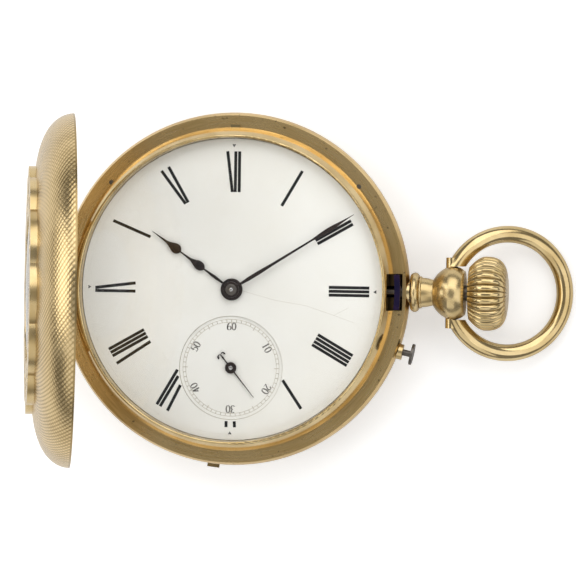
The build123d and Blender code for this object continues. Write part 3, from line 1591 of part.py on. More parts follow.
with BuildPart() as ratchet_wheel:
    toothed(barrel_x, barrel_y, winding_low, winding_top, ratchet_teeth, ratchet_module, 0)
    with Locations((barrel_x, barrel_y, winding_low)):
        Box(barrel_square, barrel_square, winding_wheel_thickness, align=STAND, mode=Mode.SUBTRACT)
ratchet_wheel.part.label = "ratchet_wheel"
export_step(ratchet_wheel.part, "parts/ratchet_wheel.step")

# Barrel: arbor with its hook core, drum with the great wheel, cover and mainspring
drum_low = bridge_high + barrel_lift
drum_high = drum_low + barrel_height
drum_inside = barrel_drum_radius - barrel_wall
spring_low = drum_low + barrel_floor + wheel_gap
spring_high = drum_high - barrel_cover_thickness - wheel_gap
with BuildPart() as barrel_arbor:
    turned(
        barrel_x,
        barrel_y,
        [
            (barrel_pivot_radius, winding_top, plate_high - wheel_gap),
            (barrel_arbor_radius, bridge_high + wheel_gap, drum_high + wheel_gap),
            (barrel_hook_radius, spring_low, spring_high),
            (arbor_screw_radius, winding_low - screw_head_height, winding_low),
        ],
    )
    with Locations((barrel_x, barrel_y, winding_low)):
        Box(barrel_square, barrel_square, winding_wheel_thickness, align=STAND)
    with Locations((barrel_x, barrel_y, winding_low - screw_head_height)):
        Box(2 * arbor_screw_radius + overrun, screw_slot_width, 2 * screw_slot_depth, mode=Mode.SUBTRACT)
barrel_arbor.part.label = "barrel_arbor"
export_step(barrel_arbor.part, "parts/barrel_arbor.step")

with BuildPart() as barrel:
    wheel_low = bridge_high + barrel_wheel_low
    toothed(
        barrel_x,
        barrel_y,
        wheel_low,
        wheel_low + barrel_wheel_thickness,
        barrel_teeth,
        barrel_module,
        barrel_phase,
    )
    turned(barrel_x, barrel_y, [(barrel_drum_radius, drum_low, drum_high)])
    bored(barrel_x, barrel_y, drum_inside, drum_low + barrel_floor, drum_high + overrun)
    bored(barrel_x, barrel_y, barrel_arbor_radius + barrel_arbor_fit, drum_low - overrun, drum_high)
barrel.part.label = "barrel"
export_step(barrel.part, "parts/barrel.step")

with BuildPart() as barrel_cover:
    turned(barrel_x, barrel_y, [(drum_inside, drum_high - barrel_cover_thickness, drum_high)])
    bored(barrel_x, barrel_y, barrel_arbor_radius + barrel_arbor_fit, drum_low, drum_high + overrun)
barrel_cover.part.label = "barrel_cover"
export_step(barrel_cover.part, "parts/barrel_cover.step")

with BuildPart() as mainspring:
    coil_inner = barrel_hook_radius + spring_inner_gap + mainspring_thickness / 2
    coil_outer = drum_inside - mainspring_room - mainspring_thickness / 2
    spiral(
        barrel_x,
        barrel_y,
        spring_low,
        spring_high - spring_low,
        coil_inner,
        (coil_outer - coil_inner) / mainspring_turns,
        mainspring_turns,
        mainspring_thickness,
    )
mainspring.part.label = "mainspring"
export_step(mainspring.part, "parts/mainspring.step")

# Click and its spring, in the recess of the bridge
ratchet_tip = ratchet_module * (ratchet_teeth / 2 + 1)
click_reach = ratchet_tip + click_tip_gap
click_cosine = (click_distance**2 + click_length**2 - click_reach**2) / (2 * click_distance * click_length)
click_turn = click_direction + 180 - degrees(atan2(sqrt(1 - click_cosine**2), click_cosine))
click_high = winding_top - wheel_gap
click_place = Location((click_x, click_y, winding_low), (0, 0, click_turn))
with BuildPart() as click:
    turned(click_x, click_y, [(click_boss_radius, winding_low, click_high)])
    with Locations(click_place):
        Box(
            click_length,
            click_width,
            click_high - winding_low,
            align=(Align.MIN, Align.CENTER, Align.MIN),
        )
    with BuildSketch(Plane((barrel_x, barrel_y, winding_low))) as teeth_room:
        Circle(click_reach)
    extrude(teeth_room.sketch, amount=winding_wheel_thickness, mode=Mode.SUBTRACT)
    bored(click_x, click_y, stud_radius + stud_fit, winding_low - overrun, bridge_high)
click.part.label = "click"
export_step(click.part, "parts/click.step")

with BuildPart() as click_spring:
    side_step = click_boss_radius + click_spring_gap + click_spring_thickness / 2
    with Locations(click_place * Location((click_boss_radius, -side_step, 0))):
        Box(
            click_spring_length + click_boss_radius,
            click_spring_thickness,
            click_high - winding_low,
            align=(Align.MAX, Align.CENTER, Align.MIN),
        )
    with Locations(click_place * Location((-click_spring_length, -side_step, 0))):
        Cylinder(post_radius, bridge_low + winding_wheel_thickness - winding_low, align=STAND)
click_spring.part.label = "click_spring"
export_step(click_spring.part, "parts/click_spring.step")

# Setting lever on the dial side: bar, finger with its pin, tail with the tab
lever_low = motion_low + motion_gap
lever_high = lever_low + lever_thickness
tab_turn = Location((tab_place.X, tab_place.Y, lever_high), (0, 0, pusher_tilt))
with BuildPart() as setting_lever:
    for start_x, start_y, end_x, end_y in (
        (lever_pivot_x, lever_pivot_y, lever_pivot_x, lever_knee_y),
        (lever_pivot_x, lever_knee_y, lever_pin_x, lever_knee_y),
        (lever_pin_x, lever_knee_y, lever_pin_x, lever_pin_y),
        (lever_pivot_x, lever_knee_y, tab_place.X - lever_tab_thickness / 2, tab_place.Y),
    ):
        run = hypot(end_x - start_x, end_y - start_y)
        turn = degrees(atan2(end_y - start_y, end_x - start_x))
        with Locations(Location((start_x, start_y, lever_low), (0, 0, turn))):
            Box(run, lever_width, lever_thickness, align=(Align.MIN, Align.CENTER, Align.MIN))
            Cylinder(lever_width / 2, lever_thickness, align=STAND)
    turned(lever_pivot_x, lever_pivot_y, [(lever_width, lever_low, lever_high)])
    turned(lever_pin_x, lever_pin_y, [(lever_pin_radius, lever_low - lever_pin_drop, lever_high)])
    with Locations(tab_turn):
        Box(
            lever_tab_thickness,
            lever_tab_width,
            lever_thickness + lever_tab_drop,
            align=(Align.CENTER, Align.CENTER, Align.MAX),
        )
    bored(lever_pivot_x, lever_pivot_y, stud_radius + stud_fit, plate_high, dial_low)
setting_lever.part.label = "setting_lever"
export_step(setting_lever.part, "parts/setting_lever.step")

lever_spring_x = 17.0
lever_spring_y = 5.6
lever_spring_tip_x = 18.53
lever_spring_tip_y = 3.4
with BuildPart() as setting_lever_spring:
    turned(lever_spring_x, lever_spring_y, [(post_radius, plate_high, lever_high)])
    run = hypot(lever_spring_tip_x - lever_spring_x, lever_spring_tip_y - lever_spring_y)
    turn = degrees(atan2(lever_spring_tip_y - lever_spring_y, lever_spring_tip_x - lever_spring_x))
    with Locations(Location((lever_spring_x, lever_spring_y, lever_low), (0, 0, turn))):
        Box(run, lever_spring_thickness, lever_thickness, align=(Align.MIN, Align.CENTER, Align.MIN))
setting_lever_spring.part.label = "setting_lever_spring"
export_step(setting_lever_spring.part, "parts/setting_lever_spring.step")


def spoked_wheel(x, y, low, thickness, teeth, module, phase, spokes):
    """A train wheel with its rim crossed out to straight spokes."""
    toothed(x, y, low, low + thickness, teeth, module, phase)
    pitch_radius = module * teeth / 2
    crossed_out(
        x,
        y,
        low,
        low + thickness,
        pitch_radius * rim_share,
        pitch_radius * hub_share,
        spokes,
        spoke_width,
        phase,
    )


# Going train, each arbor running in its jewels
shoulder_low = bridge_low + jewel_thickness + wheel_gap
shoulder_high = plate_jewel_low - wheel_gap
pivot_low = bridge_low + wheel_gap
pivot_high = plate_high - wheel_gap


def arbor(x, y):
    """An arbor with its two pivots."""
    turned(x, y, [(pivot_radius, pivot_low, pivot_high), (arbor_radius, shoulder_low, shoulder_high)])


centre_wheel_low = plate_low + wheel_gap
with BuildPart() as centre_wheel:
    spoked_wheel(
        0,
        0,
        centre_wheel_low,
        centre_wheel_thickness,
        centre_teeth,
        centre_module,
        centre_phase,
        train_spokes,
    )
    toothed(0, 0, drum_low, drum_high + wheel_gap, centre_pinion_leaves, barrel_module, centre_pinion_phase)
    turned(
        0,
        0,
        [
            (pivot_radius, pivot_low, shoulder_low),
            (centre_arbor_radius, shoulder_low, centre_arbor_top),
        ],
    )
centre_wheel.part.label = "centre_wheel"
export_step(centre_wheel.part, "parts/centre_wheel.step")

third_wheel_low = bridge_high + third_wheel_lift
fourth_wheel_low = bridge_high + fourth_wheel_lift
third_pinion_low = fourth_wheel_low + wheel_thickness + wheel_gap
with BuildPart() as third_wheel:
    spoked_wheel(
        third_x,
        third_y,
        third_wheel_low,
        wheel_thickness,
        third_teeth,
        third_module,
        third_phase,
        train_spokes,
    )
    toothed(
        third_x,
        third_y,
        third_pinion_low,
        centre_wheel_low + centre_wheel_thickness + wheel_gap,
        third_pinion_leaves,
        centre_module,
        third_pinion_phase,
    )
    arbor(third_x, third_y)
third_wheel.part.label = "third_wheel"
export_step(third_wheel.part, "parts/third_wheel.step")

with BuildPart() as fourth_wheel:
    spoked_wheel(
        fourth_x,
        fourth_y,
        fourth_wheel_low,
        wheel_thickness,
        fourth_teeth,
        fourth_module,
        fourth_phase,
        train_spokes,
    )
    toothed(
        fourth_x,
        fourth_y,
        third_wheel_low - wheel_thickness,
        third_wheel_low + 2 * wheel_thickness,
        fourth_pinion_leaves,
        third_module,
        fourth_pinion_phase,
    )
    arbor(fourth_x, fourth_y)
    arbor_top = seconds_hand_level + seconds_boss_height
    turned(fourth_x, fourth_y, [(fourth_arbor_radius, shoulder_high, arbor_top)])
fourth_wheel.part.label = "fourth_wheel"
export_step(fourth_wheel.part, "parts/fourth_wheel.step")

escape_step = 360 / escape_teeth
escape_tooth_shares = ((0.0, 0), (0.12, 1), (0.25, 1), (0.55, 0))
with BuildPart() as escape_wheel:
    escape_points = []
    for tooth in range(escape_teeth):
        for along, out in escape_tooth_shares:
            angle = radians((tooth + along) * escape_step)
            radius = escape_tip_radius if out else escape_root_radius
            escape_points.append((radius * cos(angle), radius * sin(angle)))
    with BuildSketch(Plane((escape_x, escape_y, fork_low))) as blank:
        with BuildLine():
            Polyline(*escape_points, close=True)
        make_face()
    extrude(blank.sketch, amount=wheel_thickness)
    crossed_out(
        escape_x,
        escape_y,
        fork_low,
        fork_low + wheel_thickness,
        escape_root_radius - escape_rim_width,
        escape_root_radius * hub_share,
        small_spokes,
        escape_rim_width,
    )
    toothed(
        escape_x,
        escape_y,
        drum_low,
        fork_low - 2 * pallet_stone_width / 3,
        escape_pinion_leaves,
        fourth_module,
        escape_pinion_phase,
    )
    arbor(escape_x, escape_y)
escape_wheel.part.label = "escape_wheel"
export_step(escape_wheel.part, "parts/escape_wheel.step")

# Pallet stones and fork; local X runs from the pallet arbor to the escape wheel
to_escape = pallet_direction + 180
fork_plane = Plane(Location((pallet_x, pallet_y, fork_low), (0, 0, to_escape)))
with BuildPart() as pallet_stones:
    with BuildSketch(fork_plane) as stones:
        for side in (-1, 1):
            with Locations(Location((pallet_reach, 0, 0), (0, 0, 180 - side * pallet_span))):
                with Locations((escape_tip_radius + pallet_gap, 0)):
                    Rectangle(pallet_stone_length, pallet_stone_width, align=(Align.MIN, Align.CENTER))
    extrude(stones.sketch, amount=wheel_thickness)
pallet_stones.part.label = "pallet_stones"
export_step(pallet_stones.part, "parts/pallet_stones.step")

# Anchor outline of the fork, as shares of the escape wheel's tip radius
anchor_shares = (
    (-0.12, 0.0), (0.02, -0.7), (0.2, -0.68), (0.12, 0.0), (0.2, 0.68), (0.02, 0.7),
)
with BuildPart() as pallet_fork:
    with BuildSketch(fork_plane) as anchor:
        with BuildLine():
            Polyline(*shares_to_points(anchor_shares, escape_tip_radius), close=True)
        make_face()
        Circle(2 * arbor_radius)
        Rectangle(fork_length, fork_width, align=(Align.MAX, Align.CENTER))
        with Locations((-fork_length, 0)):
            Rectangle(fork_head_width, fork_head_width, align=(Align.MIN, Align.CENTER))
            Rectangle(
                2 * fork_slot,
                fork_slot,
                align=(Align.CENTER, Align.CENTER),
                mode=Mode.SUBTRACT,
            )
    extrude(anchor.sketch, amount=wheel_thickness)
    add(pallet_stones.part, mode=Mode.SUBTRACT)
    turned(
        pallet_x,
        pallet_y,
        [
            (pivot_radius, cock_bar_low, pivot_high),
            (arbor_radius, fork_low - pallet_cock_gap + wheel_gap, shoulder_high),
        ],
    )
pallet_fork.part.label = "pallet_fork"
export_step(pallet_fork.part, "parts/pallet_fork.step")

# Balance with its rim screws, roller and hairspring
rim_low = bridge_high + balance_lift
arm_low = rim_low + balance_arm_thickness / 2
with BuildPart() as balance_wheel:
    turned(balance_x, balance_y, [(balance_radius, rim_low, rim_low + balance_rim_height)])
    bored(balance_x, balance_y, balance_radius - balance_rim, rim_low - overrun, plate_low)
    with Locations((balance_x, balance_y, arm_low)):
        Box(
            2 * balance_radius - balance_rim,
            balance_arm_width,
            balance_arm_thickness,
            align=STAND,
        )
    for step in range(balance_screw_count):
        out = Vector(1, 0, 0).rotate(Axis.Z, (step + 1 / 2) * 360 / balance_screw_count)
        place = Vector(balance_x, balance_y, rim_low + balance_rim_height / 2)
        with Locations(Plane(place + out * (balance_radius - balance_rim / 2), z_dir=out)):
            Cylinder(balance_screw_radius, balance_rim / 2 + balance_screw_reach, align=STAND)
    turned(balance_x, balance_y, [(2 * arbor_radius, arm_low, rim_low + balance_rim_height)])
    arbor(balance_x, balance_y)
balance_wheel.part.label = "balance_wheel"
export_step(balance_wheel.part, "parts/balance_wheel.step")

roller_low = fork_low - roller_pin_gap * 2 - roller_thickness
with BuildPart() as impulse_roller:
    turned(balance_x, balance_y, [(roller_radius, roller_low, roller_low + roller_thickness)])
    bored(balance_x, balance_y, arbor_radius, roller_low - overrun, plate_low)
    pin = Vector(roller_pin_circle, 0, 0).rotate(Axis.Z, to_escape)
    pin_top = fork_low - roller_pin_gap
    turned(balance_x + pin.X, balance_y + pin.Y, [(roller_pin_radius, roller_low, pin_top)])
impulse_roller.part.label = "impulse_roller"
export_step(impulse_roller.part, "parts/impulse_roller.step")

with BuildPart() as hairspring:
    coil_low = bridge_high + hairspring_gap
    spiral(
        balance_x,
        balance_y,
        coil_low,
        hairspring_height,
        hairspring_inner,
        hairspring_pitch,
        hairspring_turns,
        hairspring_thickness,
    )
    turned(balance_x, balance_y, [(hairspring_inner, coil_low, coil_low + hairspring_height)])
    bored(balance_x, balance_y, arbor_radius, coil_low - overrun, plate_low)
    stud_reach = hairspring_inner + hairspring_turns * hairspring_pitch
    coil_high = coil_low + hairspring_height
    turned(balance_x + stud_reach, balance_y, [(fourth_arbor_radius, bridge_high, coil_high)])
hairspring.part.label = "hairspring"
export_step(hairspring.part, "parts/hairspring.step")

with BuildPart() as regulator:
    with BuildSketch(Plane((balance_x, balance_y, boss_low))) as lever:
        Circle(regulator_radius)
        with Locations(Rotation(0, 0, cock_direction + 180)):
            Rectangle(regulator_tail, regulator_width, align=(Align.MIN, Align.CENTER))
        Circle(regulator_bore, mode=Mode.SUBTRACT)
    extrude(lever.sketch, amount=regulator_thickness)
regulator.part.label = "regulator"
export_step(regulator.part, "parts/regulator.step")

# Motion work
with BuildPart() as cannon_pinion:
    leaves_low = plate_high + wheel_gap
    leaves_high = motion_low + motion_wheel_thickness + motion_gap
    toothed(0, 0, leaves_low, leaves_high, cannon_leaves, minute_module, 0)
    turned(0, 0, [(cannon_pipe_radius, leaves_low, cannon_top)])
    bored(0, 0, centre_arbor_radius, plate_low, cannon_top + overrun)
cannon_pinion.part.label = "cannon_pinion"
export_step(cannon_pinion.part, "parts/cannon_pinion.step")

with BuildPart() as minute_wheel:
    wheel_top = motion_low + motion_wheel_thickness
    spoked_wheel(
        motion_distance,
        0,
        motion_low,
        motion_wheel_thickness,
        minute_teeth,
        minute_module,
        minute_phase,
        small_spokes,
    )
    turned(motion_distance, 0, [(hour_module * minute_leaves / 2, motion_low, wheel_top)])
    toothed(
        motion_distance,
        0,
        wheel_top,
        wheel_top + motion_wheel_thickness + 2 * motion_gap,
        minute_leaves,
        hour_module,
        0,
    )
    bored(motion_distance, 0, stud_radius + stud_fit, plate_low, dial_high)
minute_wheel.part.label = "minute_wheel"
export_step(minute_wheel.part, "parts/minute_wheel.step")

with BuildPart() as setting_wheel:
    toothed(setting_x, 0, motion_low, wheel_top, setting_teeth, minute_module, setting_phase)
    bored(setting_x, 0, stud_radius + stud_fit, plate_low, dial_high)
setting_wheel.part.label = "setting_wheel"
export_step(setting_wheel.part, "parts/setting_wheel.step")

hour_wheel_low = wheel_top + 2 * motion_gap
with BuildPart() as hour_wheel:
    toothed(0, 0, hour_wheel_low, hour_wheel_low + wheel_thickness, hour_teeth, hour_module, hour_phase)
    turned(0, 0, [(hour_pipe_outer, hour_wheel_low, hour_pipe_top)])
    bored(0, 0, hour_pipe_inner, plate_low, hour_pipe_top + overrun)
hour_wheel.part.label = "hour_wheel"
export_step(hour_wheel.part, "parts/hour_wheel.step")

# Dial, the sunk seconds dial, and the three hands
with BuildPart() as dial:
    turned(0, 0, [(dial_radius, dial_low, dial_high)])
    bored(0, 0, dial_hole_radius, dial_low - overrun, dial_high + overrun)
    bored(fourth_x, fourth_y, sub_radius, dial_low - overrun, dial_high + overrun)
    for angle in dial_foot_angles:
        spot = Vector(dial_foot_circle, 0, 0).rotate(Axis.Z, angle)
        turned(spot.X, spot.Y, [(dial_foot_radius, dial_low - dial_foot_length, dial_low)])
dial.part.label = "dial"
export_step(dial.part, "parts/dial.step")

sub_high = dial_high - sub_sink
with BuildPart() as seconds_dial:
    turned(fourth_x, fourth_y, [(sub_radius, sub_high - sub_thickness, sub_high)])
    bored(fourth_x, fourth_y, fourth_arbor_radius + 2 * stud_fit, dial_low, dial_high)
seconds_dial.part.label = "seconds_dial"
export_step(seconds_dial.part, "parts/seconds_dial.step")


def hand_plane(x, y, level, angle):
    """The plane of a hand: X runs along it, clockwise from 12 o'clock."""
    return Plane(Location((x, y, level), (0, 0, 90 - angle)))


def needle(start, end, start_width, end_width):
    """A tapering stretch of a hand, as a polygon."""
    with BuildLine() as sides:
        Polyline(
            (start, -start_width / 2),
            (end, -end_width / 2),
            (end, end_width / 2),
            (start, start_width / 2),
            close=True,
        )
    return sides


with BuildPart() as hour_hand:
    with BuildSketch(hand_plane(0, 0, hour_hand_level, hour_hand_angle)) as shape:
        Circle(hour_boss_radius)
        make_face(needle(0, hour_hand_length, hand_neck, hand_tip).edges())
        with Locations((hour_inner_place, 0)):
            Ellipse(hour_inner_length / 2, hour_inner_width / 2)
        with Locations((hour_bulb_place, 0)):
            Ellipse(hour_bulb_length / 2, hour_bulb_width / 2)
        Circle(hour_pipe_outer, mode=Mode.SUBTRACT)
    extrude(shape.sketch, amount=hand_thickness)
    turned(0, 0, [(hour_boss_radius, hour_hand_level, hour_hand_level + hour_boss_height)])
    bored(0, 0, hour_pipe_outer, dial_high, hour_hand_level + hour_boss_height)
hour_hand.part.label = "hour_hand"
export_step(hour_hand.part, "parts/hour_hand.step")

with BuildPart() as minute_hand:
    with BuildSketch(hand_plane(0, 0, minute_hand_level, minute_hand_angle)) as shape:
        make_face(needle(0, minute_hand_length, hand_neck, hand_tip).edges())
        with Locations((minute_leaf_place, 0)):
            Ellipse(minute_leaf_length / 2, minute_leaf_width / 2)
    extrude(shape.sketch, amount=hand_thickness)
    turned(0, 0, [(minute_boss_radius, minute_hand_level, minute_hand_level + minute_boss_height)])
    bored(0, 0, cannon_pipe_radius, hour_hand_level, cannon_top)
    bored(0, 0, centre_arbor_radius, hour_hand_level, centre_arbor_top + overrun)
minute_hand.part.label = "minute_hand"
export_step(minute_hand.part, "parts/minute_hand.step")

with BuildPart() as seconds_hand:
    with BuildSketch(hand_plane(fourth_x, fourth_y, seconds_hand_level, seconds_hand_angle)) as shape:
        make_face(needle(0, seconds_hand_length, seconds_hand_width, seconds_tip).edges())
        make_face(needle(-seconds_tail_length, 0, seconds_hand_width, seconds_hand_width).edges())
        with Locations((-seconds_tail_length - seconds_hand_width, 0)):
            Circle(seconds_crescent_radius)
            with Locations((-seconds_hand_width, 0)):
                Circle(seconds_crescent_radius, mode=Mode.SUBTRACT)
    extrude(shape.sketch, amount=hand_thickness)
    turned(
        fourth_x,
        fourth_y,
        [(seconds_boss_radius, seconds_hand_level, seconds_hand_level + seconds_boss_height)],
    )
    bored(fourth_x, fourth_y, fourth_arbor_radius, dial_high, seconds_hand_level + overrun)
seconds_hand.part.label = "seconds_hand"
export_step(seconds_hand.part, "parts/seconds_hand.step")
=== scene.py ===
"""Half hunter pocket watch, open on a pale table: finishes, printing, hands, light and camera.

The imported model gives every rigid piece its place. This script dresses those pieces, adds the
printing of the two dials and of the lid's numeral ring, and makes finer hands and a finer crown in
place of the plain ones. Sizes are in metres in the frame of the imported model: +X runs to the crown
at 3 o'clock, +Y to 12 o'clock and +Z out of the dial.
"""

from __future__ import annotations

import json
import logging
import math
from dataclasses import dataclass, field
from enum import Enum
from typing import Any, Mapping, Sequence

import bmesh
import bpy
from mathutils import Matrix, Vector
from mathutils.geometry import interpolate_bezier

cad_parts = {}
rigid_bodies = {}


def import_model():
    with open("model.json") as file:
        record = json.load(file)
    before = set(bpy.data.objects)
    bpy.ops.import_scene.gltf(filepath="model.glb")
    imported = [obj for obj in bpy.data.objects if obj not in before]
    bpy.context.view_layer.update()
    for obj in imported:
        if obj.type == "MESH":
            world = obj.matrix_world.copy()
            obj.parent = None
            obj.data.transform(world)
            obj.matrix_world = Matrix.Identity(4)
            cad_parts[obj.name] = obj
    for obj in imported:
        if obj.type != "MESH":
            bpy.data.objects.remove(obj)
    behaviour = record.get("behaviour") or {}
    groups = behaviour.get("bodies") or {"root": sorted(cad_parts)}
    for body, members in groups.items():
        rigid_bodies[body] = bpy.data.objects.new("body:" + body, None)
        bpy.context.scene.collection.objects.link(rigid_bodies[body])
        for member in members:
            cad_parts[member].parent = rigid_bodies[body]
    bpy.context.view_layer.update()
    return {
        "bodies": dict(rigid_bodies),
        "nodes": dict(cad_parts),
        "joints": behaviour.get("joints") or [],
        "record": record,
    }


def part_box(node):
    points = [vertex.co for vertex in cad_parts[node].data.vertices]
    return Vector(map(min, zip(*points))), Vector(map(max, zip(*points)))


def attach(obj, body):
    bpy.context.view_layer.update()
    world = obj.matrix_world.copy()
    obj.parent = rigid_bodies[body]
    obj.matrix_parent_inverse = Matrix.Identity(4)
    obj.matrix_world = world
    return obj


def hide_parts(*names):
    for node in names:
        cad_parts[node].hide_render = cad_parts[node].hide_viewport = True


LOG = logging.getLogger("half_hunter")
MM = 0.001
IMAGE_PIXELS = 576
UP = Vector((0.0, 0.0, 1.0))
EAST = Vector((1.0, 0.0, 0.0))
CROWN_RIBS = 32
STEM_LEVEL = 6.8 * MM
SMALL_DIAL_OFFSET = 11.1 * MM
SMALL_DIAL_CENTRE = Vector((0.0, -SMALL_DIAL_OFFSET, 0.0))

Colour = tuple[float, float, float]
Pair = tuple[float, float]
Socket = bpy.types.NodeSocket


class Body(Enum):
    """The bodies that the pieces made here ride on."""

    CASE = "case"
    LID = "lid"
    CENTRE = "centre"
    HOUR = "hour"
    FOURTH = "fourth"
    CROWN = "crown_stem"


class Glyph(Enum):
    """The letters of the numerals, with their widths as shares of a numeral's height."""

    I = 0.095
    V = 0.19
    X = 0.18


class Recipe:
    """A builder for one material's nodes."""

    NOISE_LOW: float = 0.3
    NOISE_HIGH: float = 0.7

    def __init__(self, name: str) -> None:
        """Starts a material with its plain shader.

        Args:
            name: the material's name.
        """
        self.material = bpy.data.materials.new(name)
        self.material.use_nodes = True
        self.tree = self.material.node_tree
        self.shader = self.tree.nodes["Principled BSDF"]
        self.output = self.tree.nodes["Material Output"]

    def add(
        self,
        kind: str,
        settings: Mapping[str, Any] | None = None,
        inputs: Mapping[Any, Any] | None = None,
    ) -> bpy.types.Node:
        """Adds a node.

        Args:
            kind: the node's type name.
            settings: properties to set on the node.
            inputs: values for its sockets; a socket given as a value is linked.

        Returns:
            The new node.
        """
        node = self.tree.nodes.new(kind)
        for name, value in (settings or {}).items():
            setattr(node, name, value)
        for name, value in (inputs or {}).items():
            if isinstance(value, Socket):
                self.tree.links.new(value, node.inputs[name])
            else:
                node.inputs[name].default_value = value
        return node

    def set(self, **values: Any) -> None:
        """Sets or links sockets of the shader, with underscores for spaces in their names."""
        for name, value in values.items():
            socket = self.shader.inputs[name.replace("_", " ")]
            if isinstance(value, Socket):
                self.tree.links.new(value, socket)
            else:
                socket.default_value = value

    def math(self, operation: str, *values: Any) -> Socket:
        """A Math node's result for one, two or three values or sockets."""
        node = self.add("ShaderNodeMath", {"operation": operation}, dict(enumerate(values)))
        return node.outputs[0]

    def place(self) -> Socket:
        """The Object coordinates."""
        return self.add("ShaderNodeTexCoord").outputs["Object"]

    def noise(self, scale: float, detail: float = 3.0, vector: Socket | None = None) -> Socket:
        """A noise value at a scale per metre, by default on Object coordinates."""
        inputs = {"Vector": vector or self.place(), "Scale": scale, "Detail": detail}
        return self.add("ShaderNodeTexNoise", inputs=inputs).outputs["Fac"]

    def span(
        self,
        value: Socket,
        low: float,
        high: float,
        start: float = NOISE_LOW,
        end: float = NOISE_HIGH,
    ) -> Socket:
        """A value between a start and an end, by default a noise's, mapped onto a range."""
        ends = {"From Min": start, "From Max": end, "To Min": low, "To Max": high}
        return self.add("ShaderNodeMapRange", inputs={"Value": value, **ends}).outputs["Result"]

    def wear(self, value: Socket, roughness: float, low: float = 0.8, high: float = 1.3) -> Socket:
        """A roughness that a noise varies between two shares of it."""
        return self.span(value, roughness * low, roughness * high)

    def mix(self, share: Socket, first: Colour | Socket, second: Colour) -> Socket:
        """Two colours mixed by a value."""
        start = first if isinstance(first, Socket) else (*first, 1.0)
        colours = {"Factor": share, 6: start, 7: (*second, 1.0)}
        return self.add("ShaderNodeMix", {"data_type": "RGBA"}, colours).outputs[2]

    def blend(self, noise: Socket, first: Colour, second: Colour) -> Socket:
        """Two colours mixed by a noise."""
        return self.mix(self.span(noise, 0.0, 1.0), first, second)

    def parts(self, vector: Socket | None = None) -> Sequence[Socket]:
        """The three parts of a vector, by default of the Object coordinates."""
        return self.add("ShaderNodeSeparateXYZ", inputs={0: vector or self.place()}).outputs

    def polar(self, vector: Socket | None = None) -> tuple[Socket, Socket, Socket]:
        """The distance from the upright axis, the angle round it, and the height."""
        east, north, up = self.parts(vector)
        squares = self.math("MULTIPLY_ADD", east, east, self.math("MULTIPLY", north, north))
        return self.math("SQRT", squares), self.math("ARCTAN2", north, east), up

    def bump(self, height: Socket, depth: float, strength: float = 1.0) -> None:
        """Raises the surface by a height map.

        Args:
            height: the height map, about 0 to 1.
            depth: the real height of a step from 0 to 1.
            strength: how strongly it counts.
        """
        inputs = {"Height": height, "Distance": depth, "Strength": strength}
        self.set(Normal=self.add("ShaderNodeBump", inputs=inputs).outputs["Normal"])


@dataclass(frozen=True)
class Finish:
    """A material of the watch, built once from its values."""

    name: str

    def make(self) -> bpy.types.Material:
        """Builds the material."""
        recipe = Recipe(self.name)
        self.paint(recipe)
        return recipe.material

    def paint(self, recipe: Recipe) -> None:
        """Fills in a recipe.

        Args:
            recipe: the new material's recipe.
        """
        raise NotImplementedError


@dataclass(frozen=True)
class MetalFinish(Finish):
    """Polished or satin metal with faint wear and duller patches at random."""

    colour: Colour
    dull: Colour
    roughness: float
    patch_scale: float = 260.0
    scratch_scale: float = 5200.0
    scratch_detail: float = 6.0
    scratch_depth: float = 0.004 * MM
    scratch_strength: float = 0.5
    metallic: float = 1.0

    def paint(self, recipe: Recipe) -> None:
        """Fills in a recipe."""
        patches = recipe.noise(self.patch_scale)
        recipe.set(
            Base_Color=recipe.blend(patches, self.colour, self.dull),
            Metallic=self.metallic,
            Roughness=recipe.wear(patches, self.roughness),
        )
        scratches = recipe.noise(self.scratch_scale, self.scratch_detail)
        recipe.bump(scratches, self.scratch_depth, self.scratch_strength)


